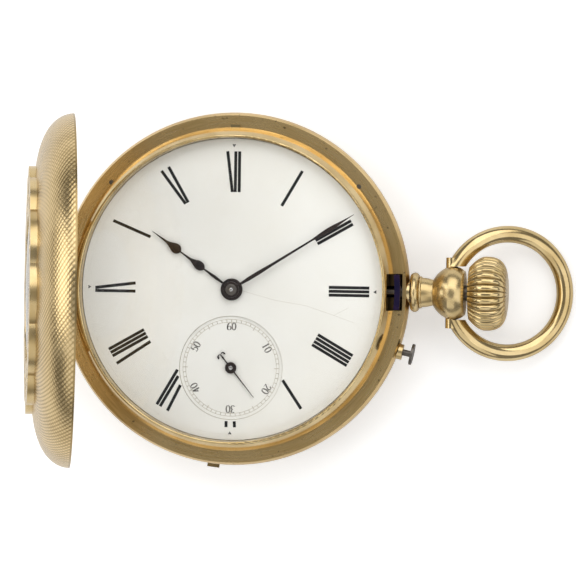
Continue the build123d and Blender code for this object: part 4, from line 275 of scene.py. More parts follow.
@dataclass(frozen=True)
class EngineTurnedFinish(Finish):
    """Gold cut with crossed slanting lines, as on the outside of the lid and the back.

    A surface is outside where (height / cover_depth)^2 + (reach / radius)^bulge, which is about 1
    on the cover's outer skin, is above skin_share.
    """

    colour: Colour
    dull: Colour
    centre: tuple[float, float, float]
    tilt: float
    radius: float
    cover_depth: float
    bulge: float = 5.7
    skin_share: float = 0.95
    roughness: float = 0.26
    cells_round: int = 90
    cell_length: float = 0.86 * MM
    depth: float = 0.05 * MM
    strength: float = 0.5
    plain_rim: float = 0.25 * MM
    cross: float = 0.55
    patch_scale: float = 220.0

    def paint(self, recipe: Recipe) -> None:
        """Fills in a recipe."""
        local = recipe.add(
            "ShaderNodeMapping",
            {"vector_type": "TEXTURE"},
            {"Vector": recipe.place(), "Location": self.centre, "Rotation": (0.0, self.tilt, 0.0)},
        )
        reach, turn, up = recipe.polar(local.outputs[0])
        angle = recipe.math("MULTIPLY", turn, float(self.cells_round))
        height = recipe.math("ABSOLUTE", up)
        run = recipe.math("SUBTRACT", recipe.math("ADD", height, self.radius), reach)
        along = recipe.math("MULTIPLY", run, math.pi / self.cell_length)
        first = recipe.math("SINE", recipe.math("ADD", angle, along))
        second = recipe.math("SINE", recipe.math("SUBTRACT", angle, along))
        shallow = recipe.math("MULTIPLY_ADD", recipe.math("ABSOLUTE", second), self.cross, 1 - self.cross)
        cuts = recipe.math("MULTIPLY", recipe.math("ABSOLUTE", first), shallow)
        rim = recipe.math("GREATER_THAN", height, self.plain_rim)
        high = recipe.math("POWER", recipe.math("DIVIDE", height, self.cover_depth), 2.0)
        wide = recipe.math("POWER", recipe.math("DIVIDE", reach, self.radius), self.bulge)
        outside = recipe.math("GREATER_THAN", recipe.math("ADD", high, wide), self.skin_share)
        pattern = recipe.math("MULTIPLY", recipe.math("MULTIPLY", cuts, rim), outside)
        patches = recipe.noise(self.patch_scale)
        ridge = recipe.math("MULTIPLY_ADD", pattern, 0.5, recipe.math("MULTIPLY", patches, 0.5))
        recipe.set(
            Base_Color=recipe.mix(recipe.span(ridge, 1.0, 0.0), self.colour, self.dull),
            Metallic=1.0,
            Roughness=recipe.wear(patches, self.roughness, 0.85, 1.2),
        )
        recipe.bump(pattern, self.depth, self.strength)


@dataclass(frozen=True)
class LatheFinish(Finish):
    """Gold turned on a lathe: fine rings round the watch's axis, dulled, with specks of soil, and painted
    shade in the sunk slot.
    """

    colour: Colour
    dull: Colour
    # The colour of the specks of soil and of the painted shade in the slot.
    grime: Colour = (0.16, 0.11, 0.05)
    roughness: float = 0.26
    ring_scale: float = 3400.0
    streak: float = 0.0016
    cloud_scale: float = 90.0
    ring_share: float = 0.45
    speck_scale: float = 1500.0
    speck_detail: float = 4.0
    speck_start: float = 0.66
    speck_end: float = 0.76
    depth: float = 0.03 * MM
    strength: float = 0.7
    # The reach and the height inside and below which the gold is darkened as painted shade.
    channel_radius: float = 24.2 * MM
    channel_level: float = 8.1 * MM

    def paint(self, recipe: Recipe) -> None:
        """Fills in a recipe."""
        reach, angle, up = recipe.polar()
        ring = recipe.add(
            "ShaderNodeCombineXYZ",
            inputs={0: reach, 1: recipe.math("MULTIPLY", angle, self.streak), 2: up},
        )
        rings = recipe.noise(self.ring_scale, 2.0, ring.outputs[0])
        clouds = recipe.math("MULTIPLY", recipe.noise(self.cloud_scale, 2.0), 1 - self.ring_share)
        worn = recipe.math("MULTIPLY_ADD", rings, self.ring_share, clouds)
        grains = recipe.noise(self.speck_scale, self.speck_detail)
        specks = recipe.span(grains, 0.0, 1.0, self.speck_start, self.speck_end)
        metal = recipe.blend(worn, self.colour, self.dull)
        # Painted shade: inside the channel radius and below the channel level, where the slot sinks under
        # the ledge, the gold is darkened to the dark colour along with the specks.
        inside = recipe.math("LESS_THAN", reach, self.channel_radius)
        sunk = recipe.math("LESS_THAN", up, self.channel_level)
        specks_and_slot_shade = recipe.math("MAXIMUM", specks, recipe.math("MULTIPLY", inside, sunk))
        recipe.set(
            Base_Color=recipe.mix(specks_and_slot_shade, metal, self.grime),
            Metallic=1.0,
            Roughness=recipe.wear(worn, self.roughness),
        )
        recipe.bump(worn, self.depth, self.strength)


@dataclass(frozen=True)
class RibbedFinish(Finish):
    """Worn gold on ribs that stand round a level axis, with painted shade darkening the grooves between
    them.
    """

    colour: Colour
    dull: Colour
    ribs: int
    axis_level: float
    # The colour of the painted shade in the grooves.
    grime: Colour = (0.10, 0.06, 0.02)
    roughness: float = 0.2
    groove_roughness: float = 0.3
    edge_low: float = 0.42
    edge_high: float = 0.06
    patch_scale: float = 420.0
    scratch_scale: float = 5200.0
    scratch_depth: float = 0.004 * MM

    def paint(self, recipe: Recipe) -> None:
        """Fills in a recipe."""
        _, north, up = recipe.parts()
        turn = recipe.math("ARCTAN2", north, recipe.math("SUBTRACT", up, self.axis_level))
        wave = recipe.math("COSINE", recipe.math("MULTIPLY", turn, self.ribs / 2))
        crest = recipe.math("ABSOLUTE", wave)
        groove = recipe.span(crest, 0.0, 1.0, self.edge_low, self.edge_high)
        patches = recipe.noise(self.patch_scale)
        metal = recipe.blend(patches, self.colour, self.dull)
        # Painted shade: the grooves are mixed towards the dark colour, and their roughness rises.
        recipe.set(
            Base_Color=recipe.mix(groove, metal, self.grime),
            Metallic=1.0,
            Roughness=recipe.math("MULTIPLY_ADD", groove, self.groove_roughness, self.roughness),
        )
        recipe.bump(recipe.noise(self.scratch_scale, 6.0), self.scratch_depth, 0.5)


@dataclass(frozen=True)
class StripedFinish(Finish):
    """Frosted nickel with straight stripes, as on the bridges."""

    colour: Colour
    dull: Colour
    roughness: float = 0.3
    stripe_width: float = 1.6 * MM
    slant: float = 0.6
    patch_scale: float = 400.0
    patch_share: float = 0.3
    depth: float = 0.03 * MM

    def paint(self, recipe: Recipe) -> None:
        """Fills in a recipe."""
        east, north, _ = recipe.parts()
        across = recipe.math("MULTIPLY_ADD", north, self.slant, east)
        wave = recipe.math("FRACT", recipe.math("DIVIDE", across, self.stripe_width))
        patches = recipe.noise(self.patch_scale)
        recipe.set(
            Base_Color=recipe.mix(wave, self.colour, self.dull),
            Metallic=1.0,
            Roughness=recipe.wear(patches, self.roughness),
        )
        recipe.bump(recipe.math("MULTIPLY_ADD", patches, self.patch_share, wave), self.depth, 0.5)


@dataclass(frozen=True)
class EnamelFinish(Finish):
    """Fired white enamel: glossy, faintly uneven and a little warm."""

    colour: Colour = (0.90, 0.89, 0.85)
    shade: Colour = (0.84, 0.82, 0.76)
    roughness: float = 0.12
    cloud_scale: float = 70.0
    speck_scale: float = 1800.0
    speck_share: float = 0.25
    coat: float = 0.4
    coat_roughness: float = 0.05
    relief: float = 0.01 * MM

    def paint(self, recipe: Recipe) -> None:
        """Fills in a recipe."""
        clouds = recipe.noise(self.cloud_scale, 2.0)
        specks = recipe.noise(self.speck_scale, 2.0)
        rest = recipe.math("MULTIPLY", clouds, 1 - self.speck_share)
        mottle = recipe.math("MULTIPLY_ADD", specks, self.speck_share, rest)
        recipe.set(
            Base_Color=recipe.blend(mottle, self.colour, self.shade),
            Roughness=recipe.wear(clouds, self.roughness, 0.8, 1.4),
            Coat_Weight=self.coat,
            Coat_Roughness=self.coat_roughness,
        )
        recipe.bump(clouds, self.relief, 0.3)


@dataclass(frozen=True)
class InkFinish(Finish):
    """Printed enamel paint on a dial."""

    colour: Colour
    roughness: float = 0.5
    gloss: float = 0.15
    grain_scale: float = 3000.0
    lighter_share: float = 1.5
    relief: float = 0.004 * MM

    def paint(self, recipe: Recipe) -> None:
        """Fills in a recipe."""
        grain = recipe.noise(self.grain_scale)
        lighter = tuple(min(1.0, part * self.lighter_share) for part in self.colour)
        recipe.set(
            Base_Color=recipe.blend(grain, self.colour, lighter),
            Roughness=recipe.wear(grain, self.roughness),
            Specular_IOR_Level=self.gloss,
        )
        recipe.bump(grain, self.relief, 0.4)


@dataclass(frozen=True)
class GlassFinish(Finish):
    """Clear watch glass that lets the light through to what it covers."""

    colour: Colour = (0.985, 0.99, 0.985)
    refraction: float = 1.46
    wave_scale: float = 60.0
    wave_depth: float = 0.01 * MM

    def paint(self, recipe: Recipe) -> None:
        """Fills in a recipe."""
        recipe.set(
            Base_Color=(*self.colour, 1.0),
            Roughness=0.0,
            IOR=self.refraction,
            Transmission_Weight=1.0,
        )
        recipe.bump(recipe.noise(self.wave_scale, 1.0), self.wave_depth, 0.1)
        clear = recipe.add("ShaderNodeBsdfTransparent")
        path = recipe.add("ShaderNodeLightPath")
        either = recipe.add(
            "ShaderNodeMixShader",
            inputs={
                0: path.outputs["Is Shadow Ray"],
                1: recipe.shader.outputs[0],
                2: clear.outputs[0],
            },
        )
        recipe.tree.links.new(either.outputs[0], recipe.output.inputs["Surface"])


@dataclass(frozen=True)
class JewelFinish(Finish):
    """Pink-red polished stone."""

    colour: Colour = (0.55, 0.04, 0.12)
    deep_share: float = 0.6
    cloud_scale: float = 900.0
    coat: float = 0.6
    relief: float = 0.003 * MM

    def paint(self, recipe: Recipe) -> None:
        """Fills in a recipe."""
        cloud = recipe.noise(self.cloud_scale)
        deep = tuple(part * self.deep_share for part in self.colour)
        recipe.set(
            Base_Color=recipe.blend(cloud, self.colour, deep),
            Roughness=recipe.span(cloud, 0.05, 0.09),
            Coat_Weight=self.coat,
        )
        recipe.bump(cloud, self.relief, 0.2)


class Finishes:
    """Every finish of the watch, made once and shared."""

    LID_DEPTH: float = 5.6 * MM
    GOLD: Colour = (0.72, 0.56, 0.30)
    GOLD_DULL: Colour = (0.55, 0.40, 0.18)
    LEDGE: Colour = (0.95, 0.70, 0.34)
    LEDGE_DULL: Colour = (0.48, 0.32, 0.12)
    TURNED: Colour = (0.76, 0.58, 0.31)
    TURNED_DULL: Colour = (0.38, 0.27, 0.12)
    RIBBED: Colour = (0.72, 0.56, 0.30)
    RIBBED_DULL: Colour = (0.56, 0.41, 0.18)
    STEEL: Colour = (0.62, 0.62, 0.63)
    STEEL_DULL: Colour = (0.46, 0.46, 0.47)

    def __init__(self, lid_centre: Vector, lid_angle: float, rim_radius: float, back_level: float) -> None:
        """Builds the materials.

        Args:
            lid_centre: the centre of the open lid's rim.
            lid_angle: how far the lid is open, in radians.
            rim_radius: the radius of the lid's rim.
            back_level: the height of the back cover's rim.
        """
        self.gold = MetalFinish("yellow_gold", self.GOLD, self.GOLD_DULL, 0.15).make()
        self.satin_gold = MetalFinish("satin_gold", self.GOLD, self.GOLD_DULL, 0.26).make()
        self.ribbed_gold = RibbedFinish(
            "ribbed_gold", self.RIBBED, self.RIBBED_DULL, CROWN_RIBS, STEM_LEVEL
        ).make()
        self.ledge_gold = LatheFinish("ledge_gold", self.LEDGE, self.LEDGE_DULL).make()
        self.turned_gold, self.turned_back = (
            EngineTurnedFinish(
                name, self.TURNED, self.TURNED_DULL, centre, tilt, rim_radius, depth
            ).make()
            for name, centre, tilt, depth in (
                ("engine_turned_gold", tuple(lid_centre), -lid_angle, self.LID_DEPTH),
                ("engine_turned_back", (0.0, 0.0, back_level), 0.0, back_level),
            )
        )
        self.steel = MetalFinish("polished_steel", self.STEEL, self.STEEL_DULL, 0.2).make()
        # Dark aged steel, also used as painted shade on the sleeve and stem inside the crown's slot.
        self.dark_steel = MetalFinish("aged_steel_and_slot_shade", (0.20, 0.18, 0.16), (0.10, 0.09, 0.08), 0.38).make()
        self.blued = MetalFinish("blued_steel", (0.035, 0.035, 0.11), (0.07, 0.035, 0.10), 0.25).make()
        self.hands = MetalFinish(
            "dark_blued_steel", (0.014, 0.009, 0.009), (0.030, 0.017, 0.013), 0.3, metallic=0.7
        ).make()
        self.gilt = MetalFinish("gilt_brass", (0.80, 0.60, 0.26), (0.64, 0.45, 0.17), 0.26).make()
        self.nickel = StripedFinish("striped_nickel", (0.74, 0.73, 0.69), (0.60, 0.58, 0.53)).make()
        self.enamel = EnamelFinish("white_enamel").make()
        self.ink = InkFinish("black_print", (0.004, 0.004, 0.004)).make()
        self.grey_ink = InkFinish("grey_print", (0.13, 0.12, 0.11)).make()
        self.line_ink = InkFinish("line_print", (0.34, 0.30, 0.23)).make()
        self.faint_ink = InkFinish("faint_print", (0.62, 0.60, 0.56)).make()
        self.blue_ink = InkFinish("blue_print", (0.02, 0.035, 0.14)).make()
        self.glass = GlassFinish("clear_glass").make()
        self.ruby = JewelFinish("ruby").make()

    def table(self) -> dict[str, bpy.types.Material]:
        """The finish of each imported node, by its name."""
        rows: dict[str, Sequence[str]] = {
            "gold": "bezel lid_hinge_pin back_hinge_pin cuvette bow crown".split(),
            "satin_gold": ["pusher_collar", "pendant", "lid_ring"],
            "ledge_gold": ["case_middle"],
            "turned_gold": ["lid_shell"],
            "turned_back": ["back_cover"],
            "enamel": ["dial", "seconds_dial", "numeral_cells"],
            "glass": ["crystal", "window_glass"],
            "ruby": ["jewels", "pallet_stones"],
            "nickel": "main_plate barrel_bridge train_bridge balance_cock pallet_cock".split(),
            "blued": "lock_spring fly_spring movement_screws case_screws hairspring".split(),
            # The push sleeve and the winding stem take the dark aged steel partly as painted shade, so that
            # the crown's slot reads dark.
            "dark_steel": ["set_pusher", "case_spring_screws", "push_sleeve", "winding_stem"],
            "hands": ["hour_hand", "minute_hand", "seconds_hand"],
            "gilt": (
                "barrel barrel_cover centre_wheel third_wheel fourth_wheel balance_wheel "
                "minute_wheel hour_wheel".split()
            ),
            "steel": (
                "winding_pinion clutch_wheel transmission_wheel "
                "ratchet_wheel barrel_arbor mainspring click click_spring setting_lever "
                "setting_lever_spring setting_wheel escape_wheel pallet_fork impulse_roller "
                "regulator cannon_pinion".split()
            ),
        }
        return {node: getattr(self, finish) for finish, nodes in rows.items() for node in nodes}


def spin_profile(
    mesh: bmesh.types.BMesh, profile: Sequence[Pair], steps: int, axis: Vector = UP
) -> None:
    """Spins an open profile once round an axis through the origin.

    Args:
        mesh: the bmesh that takes the faces.
        profile: its points as (x, z).
        steps: how many steps go round.
        axis: the axis.
    """
    points = [mesh.verts.new((along, 0.0, height)) for along, height in profile]
    edges = [mesh.edges.new(pair) for pair in zip(points, points[1:])]
    bmesh.ops.spin(
        mesh,
        geom=[*points, *edges],
        cent=(0.0, 0.0, 0.0),
        axis=axis,
        angle=math.tau,
        steps=steps,
        use_merge=True,
    )


def scaled(pairs: Sequence[Pair]) -> list[Pair]:
    """Pairs of millimetres as pairs of metres."""
    return [(first * MM, second * MM) for first, second in pairs]


class Piece:
    """Turns a finished bmesh into an object of the watch."""

    MERGE_DISTANCE: float = 1e-7

    @staticmethod
    def make(
        name: str,
        mesh: bmesh.types.BMesh,
        material: bpy.types.Material,
        body: Body,
        slot: str,
        smooth: bool = False,
        front: Vector | None = None,
    ) -> bpy.types.Object:
        """Makes the object and lets it ride on its body.

        Args:
            name: the piece's name.
            mesh: its bmesh, in the frame of the model; it is freed.
            material: its finish.
            body: the body it rides on.
            slot: the record's material slot; not used.
            smooth: whether its faces shade smoothly.
            front: for a flat sheet, the way all its faces look.

        Returns:
            The new object.
        """
        bmesh.ops.remove_doubles(mesh, verts=mesh.verts, dist=Piece.MERGE_DISTANCE)
        bmesh.ops.recalc_face_normals(mesh, faces=mesh.faces)
        if front is not None:
            turned = [face for face in mesh.faces if face.normal.dot(front) < 0]
            bmesh.ops.reverse_faces(mesh, faces=turned)
        for face in mesh.faces:
            face.smooth = smooth
        data = bpy.data.meshes.new(name)
        mesh.to_mesh(data)
        mesh.free()
        data.materials.append(material)
        made = bpy.data.objects.new(name, data)
        bpy.context.scene.collection.objects.link(made)
        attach(made, body.value)
        LOG.info("%s: %d faces on %s", name, len(data.polygons), body.value)
        return made


class Pen:
    """Draws flat printed marks into a bmesh, on the plane z = 0 of a dial's own frame."""

    POINT_SHARE: float = 0.02

    def __init__(self) -> None:
        """Starts an empty sheet."""
        self.sheet = bmesh.new()

    def stroke(self, start: Vector, end: Vector, width: float, end_width: float | None = None) -> None:
        """Draws a straight stroke with square ends.

        Args:
            start: where it starts.
            end: where it ends.
            width: its width at the start.
            end_width: its width at the end, if different.
        """
        run = end - start
        along = run.normalized()
        side = Vector((-along.y, along.x, 0.0))
        made = bmesh.ops.create_grid(self.sheet, x_segments=1, y_segments=1, size=0.5)["verts"]
        last = width if end_width is None else end_width
        for vert in made:
            at_end = vert.co.x > 0
            half = (last if at_end else width) * vert.co.y
            vert.co = (end if at_end else start) + side * half

    def ring(self, radius: float, width: float, segments: int = 180) -> None:
        """Draws a circular line."""
        spin_profile(self.sheet, ((radius - width / 2, 0.0), (radius + width / 2, 0.0)), segments)

    def triangle(self, tip: Vector, base: Vector, width: float) -> None:
        """Draws a small triangle."""
        self.stroke(base, tip, width, width * self.POINT_SHARE)

    def spoke(self, angle: float, inner: float, outer: float, width: float) -> None:
        """Draws a mark that points away from the centre, at an angle from 12 o'clock."""
        turn = Matrix.Rotation(angle, 3, "Z")
        start, end = (turn @ Vector((0.0, reach, 0.0)) for reach in (inner, outer))
        self.stroke(start, end, width)

    def lift(self, frame: Matrix) -> bmesh.types.BMesh:
        """Moves the sheet into the frame of the model and hands it over."""
        bmesh.ops.transform(self.sheet, matrix=frame, verts=self.sheet.verts)
        return self.sheet


@dataclass
class NumeralRing:
    """Roman numerals that stand round a centre with their feet towards it."""

    inner: float
    outer: float
    thick: float
    thin: float
    cut_centre: Vector | None = None
    cut_radius: float = 0.0
    spread: float = 1.0
    slant_share: float = 0.36
    cut_steps: int = 80
    numerals: Sequence[str] = tuple("XII I II III IIII V VI VII VIII IX X XI".split())

    def draw(self, bold: Pen, fine: Pen) -> None:
        """Draws all twelve numerals.

        Args:
            bold: the pen of the thick strokes.
            fine: the pen of the hairlines.
        """
        height = self.outer - self.inner
        for hour, text in enumerate(self.numerals):
            widths = [Glyph[letter].value * height * self.spread for letter in text]
            left = -sum(widths) / 2
            for letter, width in zip(text, widths):
                self._letter(bold, fine, Glyph[letter], left + width / 2, width, math.radians(hour * 30))
                left += width

    def _letter(
        self, bold: Pen, fine: Pen, glyph: Glyph, middle: float, width: float, angle: float
    ) -> None:
        """Draws one letter, its top outwards."""
        low, high = self.inner, self.outer
        half = width * self.slant_share
        if glyph is Glyph.I:
            self._line(bold, (middle, low), (middle, high), self.thick, angle)
            return
        foot = middle if glyph is Glyph.V else middle + half
        self._line(bold, (middle - half, high), (foot, low), self.thick, angle)
        other = middle if glyph is Glyph.V else middle - half
        self._line(fine, (middle + half, high), (other, low), self.thin, angle)

    def _line(self, pen: Pen, start: Pair, end: Pair, width: float, angle: float) -> None:
        """Draws a stroke given as (across, out), cut short where the small dial takes its place."""
        turn = Matrix.Rotation(-angle, 3, "Z")
        first = turn @ Vector((*start, 0.0))
        last = turn @ Vector((*end, 0.0))
        if self.cut_centre is not None:
            spots = [first.lerp(last, index / self.cut_steps) for index in range(self.cut_steps + 1)]
            shown = [spot for spot in spots if (spot - self.cut_centre).length > self.cut_radius]
            if len(shown) < 2:
                return
            first, last = shown[0], shown[-1]
        pen.stroke(first, last, width)


@dataclass
class MainDial:
    """The printing of the white dial."""

    finishes: Finishes
    track_radius: float = 20.5 * MM
    tick_length: float = 0.3 * MM
    line_width: float = 0.05 * MM
    numeral_inner: float = 13.75 * MM
    numeral_outer: float = 19.5 * MM
    thick_stroke: float = 0.43 * MM
    thin_stroke: float = 0.03 * MM
    seconds_edge: float = 7.55 * MM
    print_lift: float = 0.012 * MM
    triangle_height: float = 0.42 * MM
    triangle_width: float = 0.5 * MM
    crack_width: float = 0.025 * MM
    cracks: Sequence[Sequence[Pair]] = (
        ((1.6, -0.2), (6.0, -1.4), (10.5, -2.1), (14.5, -3.4), (17.4, -4.4)),
        ((14.5, -3.4), (16.6, -2.3)),
    )

    def build(self) -> None:
        """Draws the track, the numerals and the hairline cracks."""
        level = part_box("dial")[1].z + self.print_lift
        frame = Matrix.Translation((0.0, 0.0, level))
        black, grey, faint = Pen(), Pen(), Pen()
        NumeralRing(
            self.numeral_inner,
            self.numeral_outer,
            self.thick_stroke,
            self.thin_stroke,
            SMALL_DIAL_CENTRE,
            self.seconds_edge,
        ).draw(black, faint)
        for quarter in range(4):
            turn = Matrix.Rotation(-quarter * math.pi / 2, 3, "Z")
            tip = turn @ Vector((0.0, self.track_radius - self.triangle_height, 0.0))
            base = turn @ Vector((0.0, self.track_radius, 0.0))
            black.triangle(tip, base, self.triangle_width)
        faint.ring(self.track_radius, self.line_width)
        for minute in range(60):
            inner = self.track_radius - self.tick_length
            faint.spoke(math.radians(minute * 6), inner, self.track_radius, self.line_width)
        for line in self.cracks:
            for start, end in zip(line, line[1:]):
                grey.stroke(Vector((*start, 0.0)) * MM, Vector((*end, 0.0)) * MM, self.crack_width)
        for name, pen, finish in (
            ("dial_numerals", black, self.finishes.ink),
            ("minute_track", faint, self.finishes.faint_ink),
            ("dial_hairlines", grey, self.finishes.line_ink),
        ):
            Piece.make(name, pen.lift(frame), finish, Body.CASE, "white_enamel", front=UP)


@dataclass
class Nib:
    """Draws figures with a broad nib: upright strokes thick, level ones thin."""

    thick: float
    thin: float
    height: float

    @staticmethod
    def arc(middle: Pair, reach: Pair, start: float, end: float, steps: int = 14) -> list[Pair]:
        """Points of an oval arc.

        Args:
            middle: its centre, as shares of a figure's height.
            reach: its half width and half height.
            start: its first angle in degrees, from the right and turning left.
            end: its last angle.
            steps: how many strokes draw it.

        Returns:
            The points.
        """
        angles = [math.radians(start + (end - start) * index / steps) for index in range(steps + 1)]
        (across, up), (wide, high) = middle, reach
        return [(across + wide * math.cos(turn), up + high * math.sin(turn)) for turn in angles]

    def lines(self, figure: str) -> list[list[Pair]]:
        """The lines of a figure from 0 to 6, one unit high about x = 0."""
        arc = self.arc
        return {
            "0": [arc((0.0, 0.5), (0.25, 0.5), 0, 360, 24)],
            "1": [[(0.0, 0.0), (0.0, 1.0)], [(-0.14, 0.86), (0.0, 0.98)], [(-0.14, 0.0), (0.14, 0.0)]],
            "2": [arc((0.0, 0.74), (0.23, 0.26), 175, -40) + [(-0.25, 0.03)], [(-0.25, 0.03), (0.26, 0.03)]],
            "3": [arc((-0.02, 0.76), (0.2, 0.24), 150, -85), arc((-0.02, 0.26), (0.25, 0.26), 85, -150)],
            "4": [[(0.08, 0.0), (0.08, 1.0)], [(0.08, 0.98), (-0.28, 0.3)], [(-0.28, 0.3), (0.26, 0.3)]],
            "5": [
                [(0.2, 0.97), (-0.17, 0.97)],
                [(-0.17, 0.97), (-0.2, 0.5)],
                arc((0.0, 0.3), (0.26, 0.3), 140, -145),
            ],
            "6": [arc((0.14, 0.4), (0.39, 0.6), 85, 200), arc((0.0, 0.28), (0.25, 0.28), 0, 360, 20)],
        }[figure]

    def write(self, pen: Pen, text: str, place: Matrix, gap: float = 0.66) -> None:
        """Writes figures side by side about a place.

        Args:
            pen: the pen that draws them.
            text: the figures.
            place: their middle and their turn.
            gap: from one figure to the next, as a share of the height.
        """
        for index, figure in enumerate(text):
            across = (index - (len(text) - 1) / 2) * gap
            for line in self.lines(figure):
                spots = [place @ (Vector((x + across, y - 0.5, 0.0)) * self.height) for x, y in line]
                for (x, y), (next_x, next_y), start, end in zip(line, line[1:], spots, spots[1:]):
                    upright = abs(next_y - y) / math.hypot(next_x - x, next_y - y)
                    pen.stroke(start, end, self.thin + (self.thick - self.thin) * upright)


@dataclass
class SmallDial:
    """The printing of the sunk seconds dial, and a painted shade line round its sunk edge."""

    finishes: Finishes
    # A grey-brown line at the small dial's sunk edge, painted shade standing in for its step.
    edge_line: float = 7.34 * MM
    edge_width: float = 0.1 * MM
    outer_ring: float = 6.85 * MM
    inner_ring: float = 6.45 * MM
    line_width: float = 0.05 * MM
    tick_width: float = 0.08 * MM
    long_tick: float = 0.3 * MM
    figure_radius: float = 5.85 * MM
    figure_height: float = 1.02 * MM
    nib_thick: float = 0.19 * MM
    nib_thin: float = 0.05 * MM
    print_lift: float = 0.012 * MM

    def build(self) -> None:
        """Draws the double ring, its ticks, the figures, and the painted shade line at the sunk edge."""
        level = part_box("seconds_dial")[1].z + self.print_lift
        frame = Matrix.Translation((*SMALL_DIAL_CENTRE.xy, level))
        faint, edge, black = Pen(), Pen(), Pen()
        faint.ring(self.outer_ring, self.line_width, 96)
        faint.ring(self.inner_ring, self.line_width, 96)
        # Painted shade: a ring line at the sunk edge stands in for the shade of the step.
        edge.ring(self.edge_line, self.edge_width, 120)
        for second in range(60):
            reach = self.inner_ring if second % 5 else self.inner_ring - self.long_tick
            faint.spoke(math.radians(second * 6), reach, self.outer_ring, self.tick_width)
        nib = Nib(self.nib_thick, self.nib_thin, self.figure_height)
        for step in range(6):
            turn = Matrix.Rotation(-math.radians(step * 60), 4, "Z")
            place = turn @ Matrix.Translation((0.0, self.figure_radius, 0.0))
            nib.write(black, str(step * 10 or 60), place)
        for name, pen, finish in (
            ("seconds_track", faint, self.finishes.line_ink),
            ("seconds_edge", edge, self.finishes.line_ink),
            ("seconds_figures", black, self.finishes.grey_ink),
        ):
            Piece.make(name, pen.lift(frame), finish, Body.CASE, "white_enamel", front=UP)


@dataclass
class LidNumerals:
    """Blue numerals on the enamel cells of the lid's ring."""

    finishes: Finishes
    lid_centre: Vector
    lid_angle: float
    cell_circle: float = 13.5 * MM
    height: float = 1.45 * MM
    thick_stroke: float = 0.15 * MM
    thin_stroke: float = 0.06 * MM
    spread: float = 2.8
    level: float = 6.15 * MM
    print_lift: float = 0.02 * MM

    def build(self) -> None:
        """Draws the numerals in the lid's own plane."""
        pen = Pen()
        half = self.height / 2
        NumeralRing(
            self.cell_circle - half,
            self.cell_circle + half,
            self.thick_stroke,
            self.thin_stroke,
            spread=self.spread,
        ).draw(pen, pen)
        frame = (
            Matrix.Translation(self.lid_centre)
            @ Matrix.Rotation(-self.lid_angle, 4, "Y")
            @ Matrix.Translation((0.0, 0.0, self.level + self.print_lift))
        )
        Piece.make(
            "lid_numerals",
            pen.lift(frame),
            self.finishes.blue_ink,
            Body.LID,
            "white_enamel",
            front=frame.to_3x3() @ UP,
        )


def hand_place(centre: Vector, level: float, angle: float) -> Matrix:
    """Where a hand's own frame stands, its blade along +X, at an angle clockwise from 12 o'clock."""
    return Matrix.Translation((*centre.xy, level)) @ Matrix.Rotation(math.pi / 2 - angle, 4, "Z")


@dataclass
class Hand:
    """One hand: a crowned blade drawn by its half widths, and a turned boss."""

    name: str
    node: str
    body: Body
    centre: Vector
    angle: float
    outline: Sequence[Pair]
    boss: Sequence[Pair]
    crown: float
    thickness: float = 0.12 * MM
    full_width: float = 0.5 * MM
    edge_width: float = 0.02 * MM
    boss_steps: int = 48

    def build(self, finish: bpy.types.Material) -> bpy.types.Object:
        """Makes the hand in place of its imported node.

        Args:
            finish: its material.

        Returns:
            The new object.
        """
        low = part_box(self.node)[0].z
        blade = self._blade()
        spin_profile(blade, self.boss, self.boss_steps)
        place = hand_place(self.centre, low, self.angle)
        bmesh.ops.transform(blade, matrix=place, verts=blade.verts)
        made = Piece.make(self.name, blade, finish, self.body, "dark_blued_steel", smooth=True)
        edges = made.modifiers.new("edges", "BEVEL")
        edges.width = self.edge_width
        edges.segments = 2
        edges.limit_method = "ANGLE"
        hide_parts(self.node)
        return made

    def _blade(self) -> bmesh.types.BMesh:
        """The blade along +X: a grid whose rows follow the outline and rise to a middle ridge."""
        blade = bmesh.new()
        rows = len(self.outline) - 1
        made = bmesh.ops.create_grid(blade, x_segments=rows, y_segments=4, size=1.0)["verts"]
        for vert in made:
            row = round((vert.co.x + 1) / 2 * rows)
            along, half = self.outline[row]
            share = vert.co.y
            rise = self.crown * min(1.0, half / self.full_width) * (1 - share * share)
            vert.co = Vector((along, half * share, self.thickness + rise))
        rim = [edge for edge in blade.edges if edge.is_boundary]
        walls = bmesh.ops.extrude_edge_only(blade, edges=rim)["geom"]
        for vert in (item for item in walls if isinstance(item, bmesh.types.BMVert)):
            vert.co.z = 0.0
        foot = [edge for edge in blade.edges if edge.is_boundary]
        bmesh.ops.contextual_create(blade, geom=foot)
        return blade


@dataclass
class Cap:
    """A small turned cap of steel over the end of an arbor."""

    name: str
    body: Body
    centre: Vector
    level: float
    profile: Sequence[Pair]
    steps: int = 32

    def build(self, finish: bpy.types.Material) -> None:
        """Spins the cap."""
        cap = bmesh.new()
        spin_profile(cap, self.profile, self.steps)
        bmesh.ops.translate(cap, verts=cap.verts, vec=(*self.centre.xy, self.level))
        Piece.make(self.name, cap, finish, self.body, "steel", smooth=True)


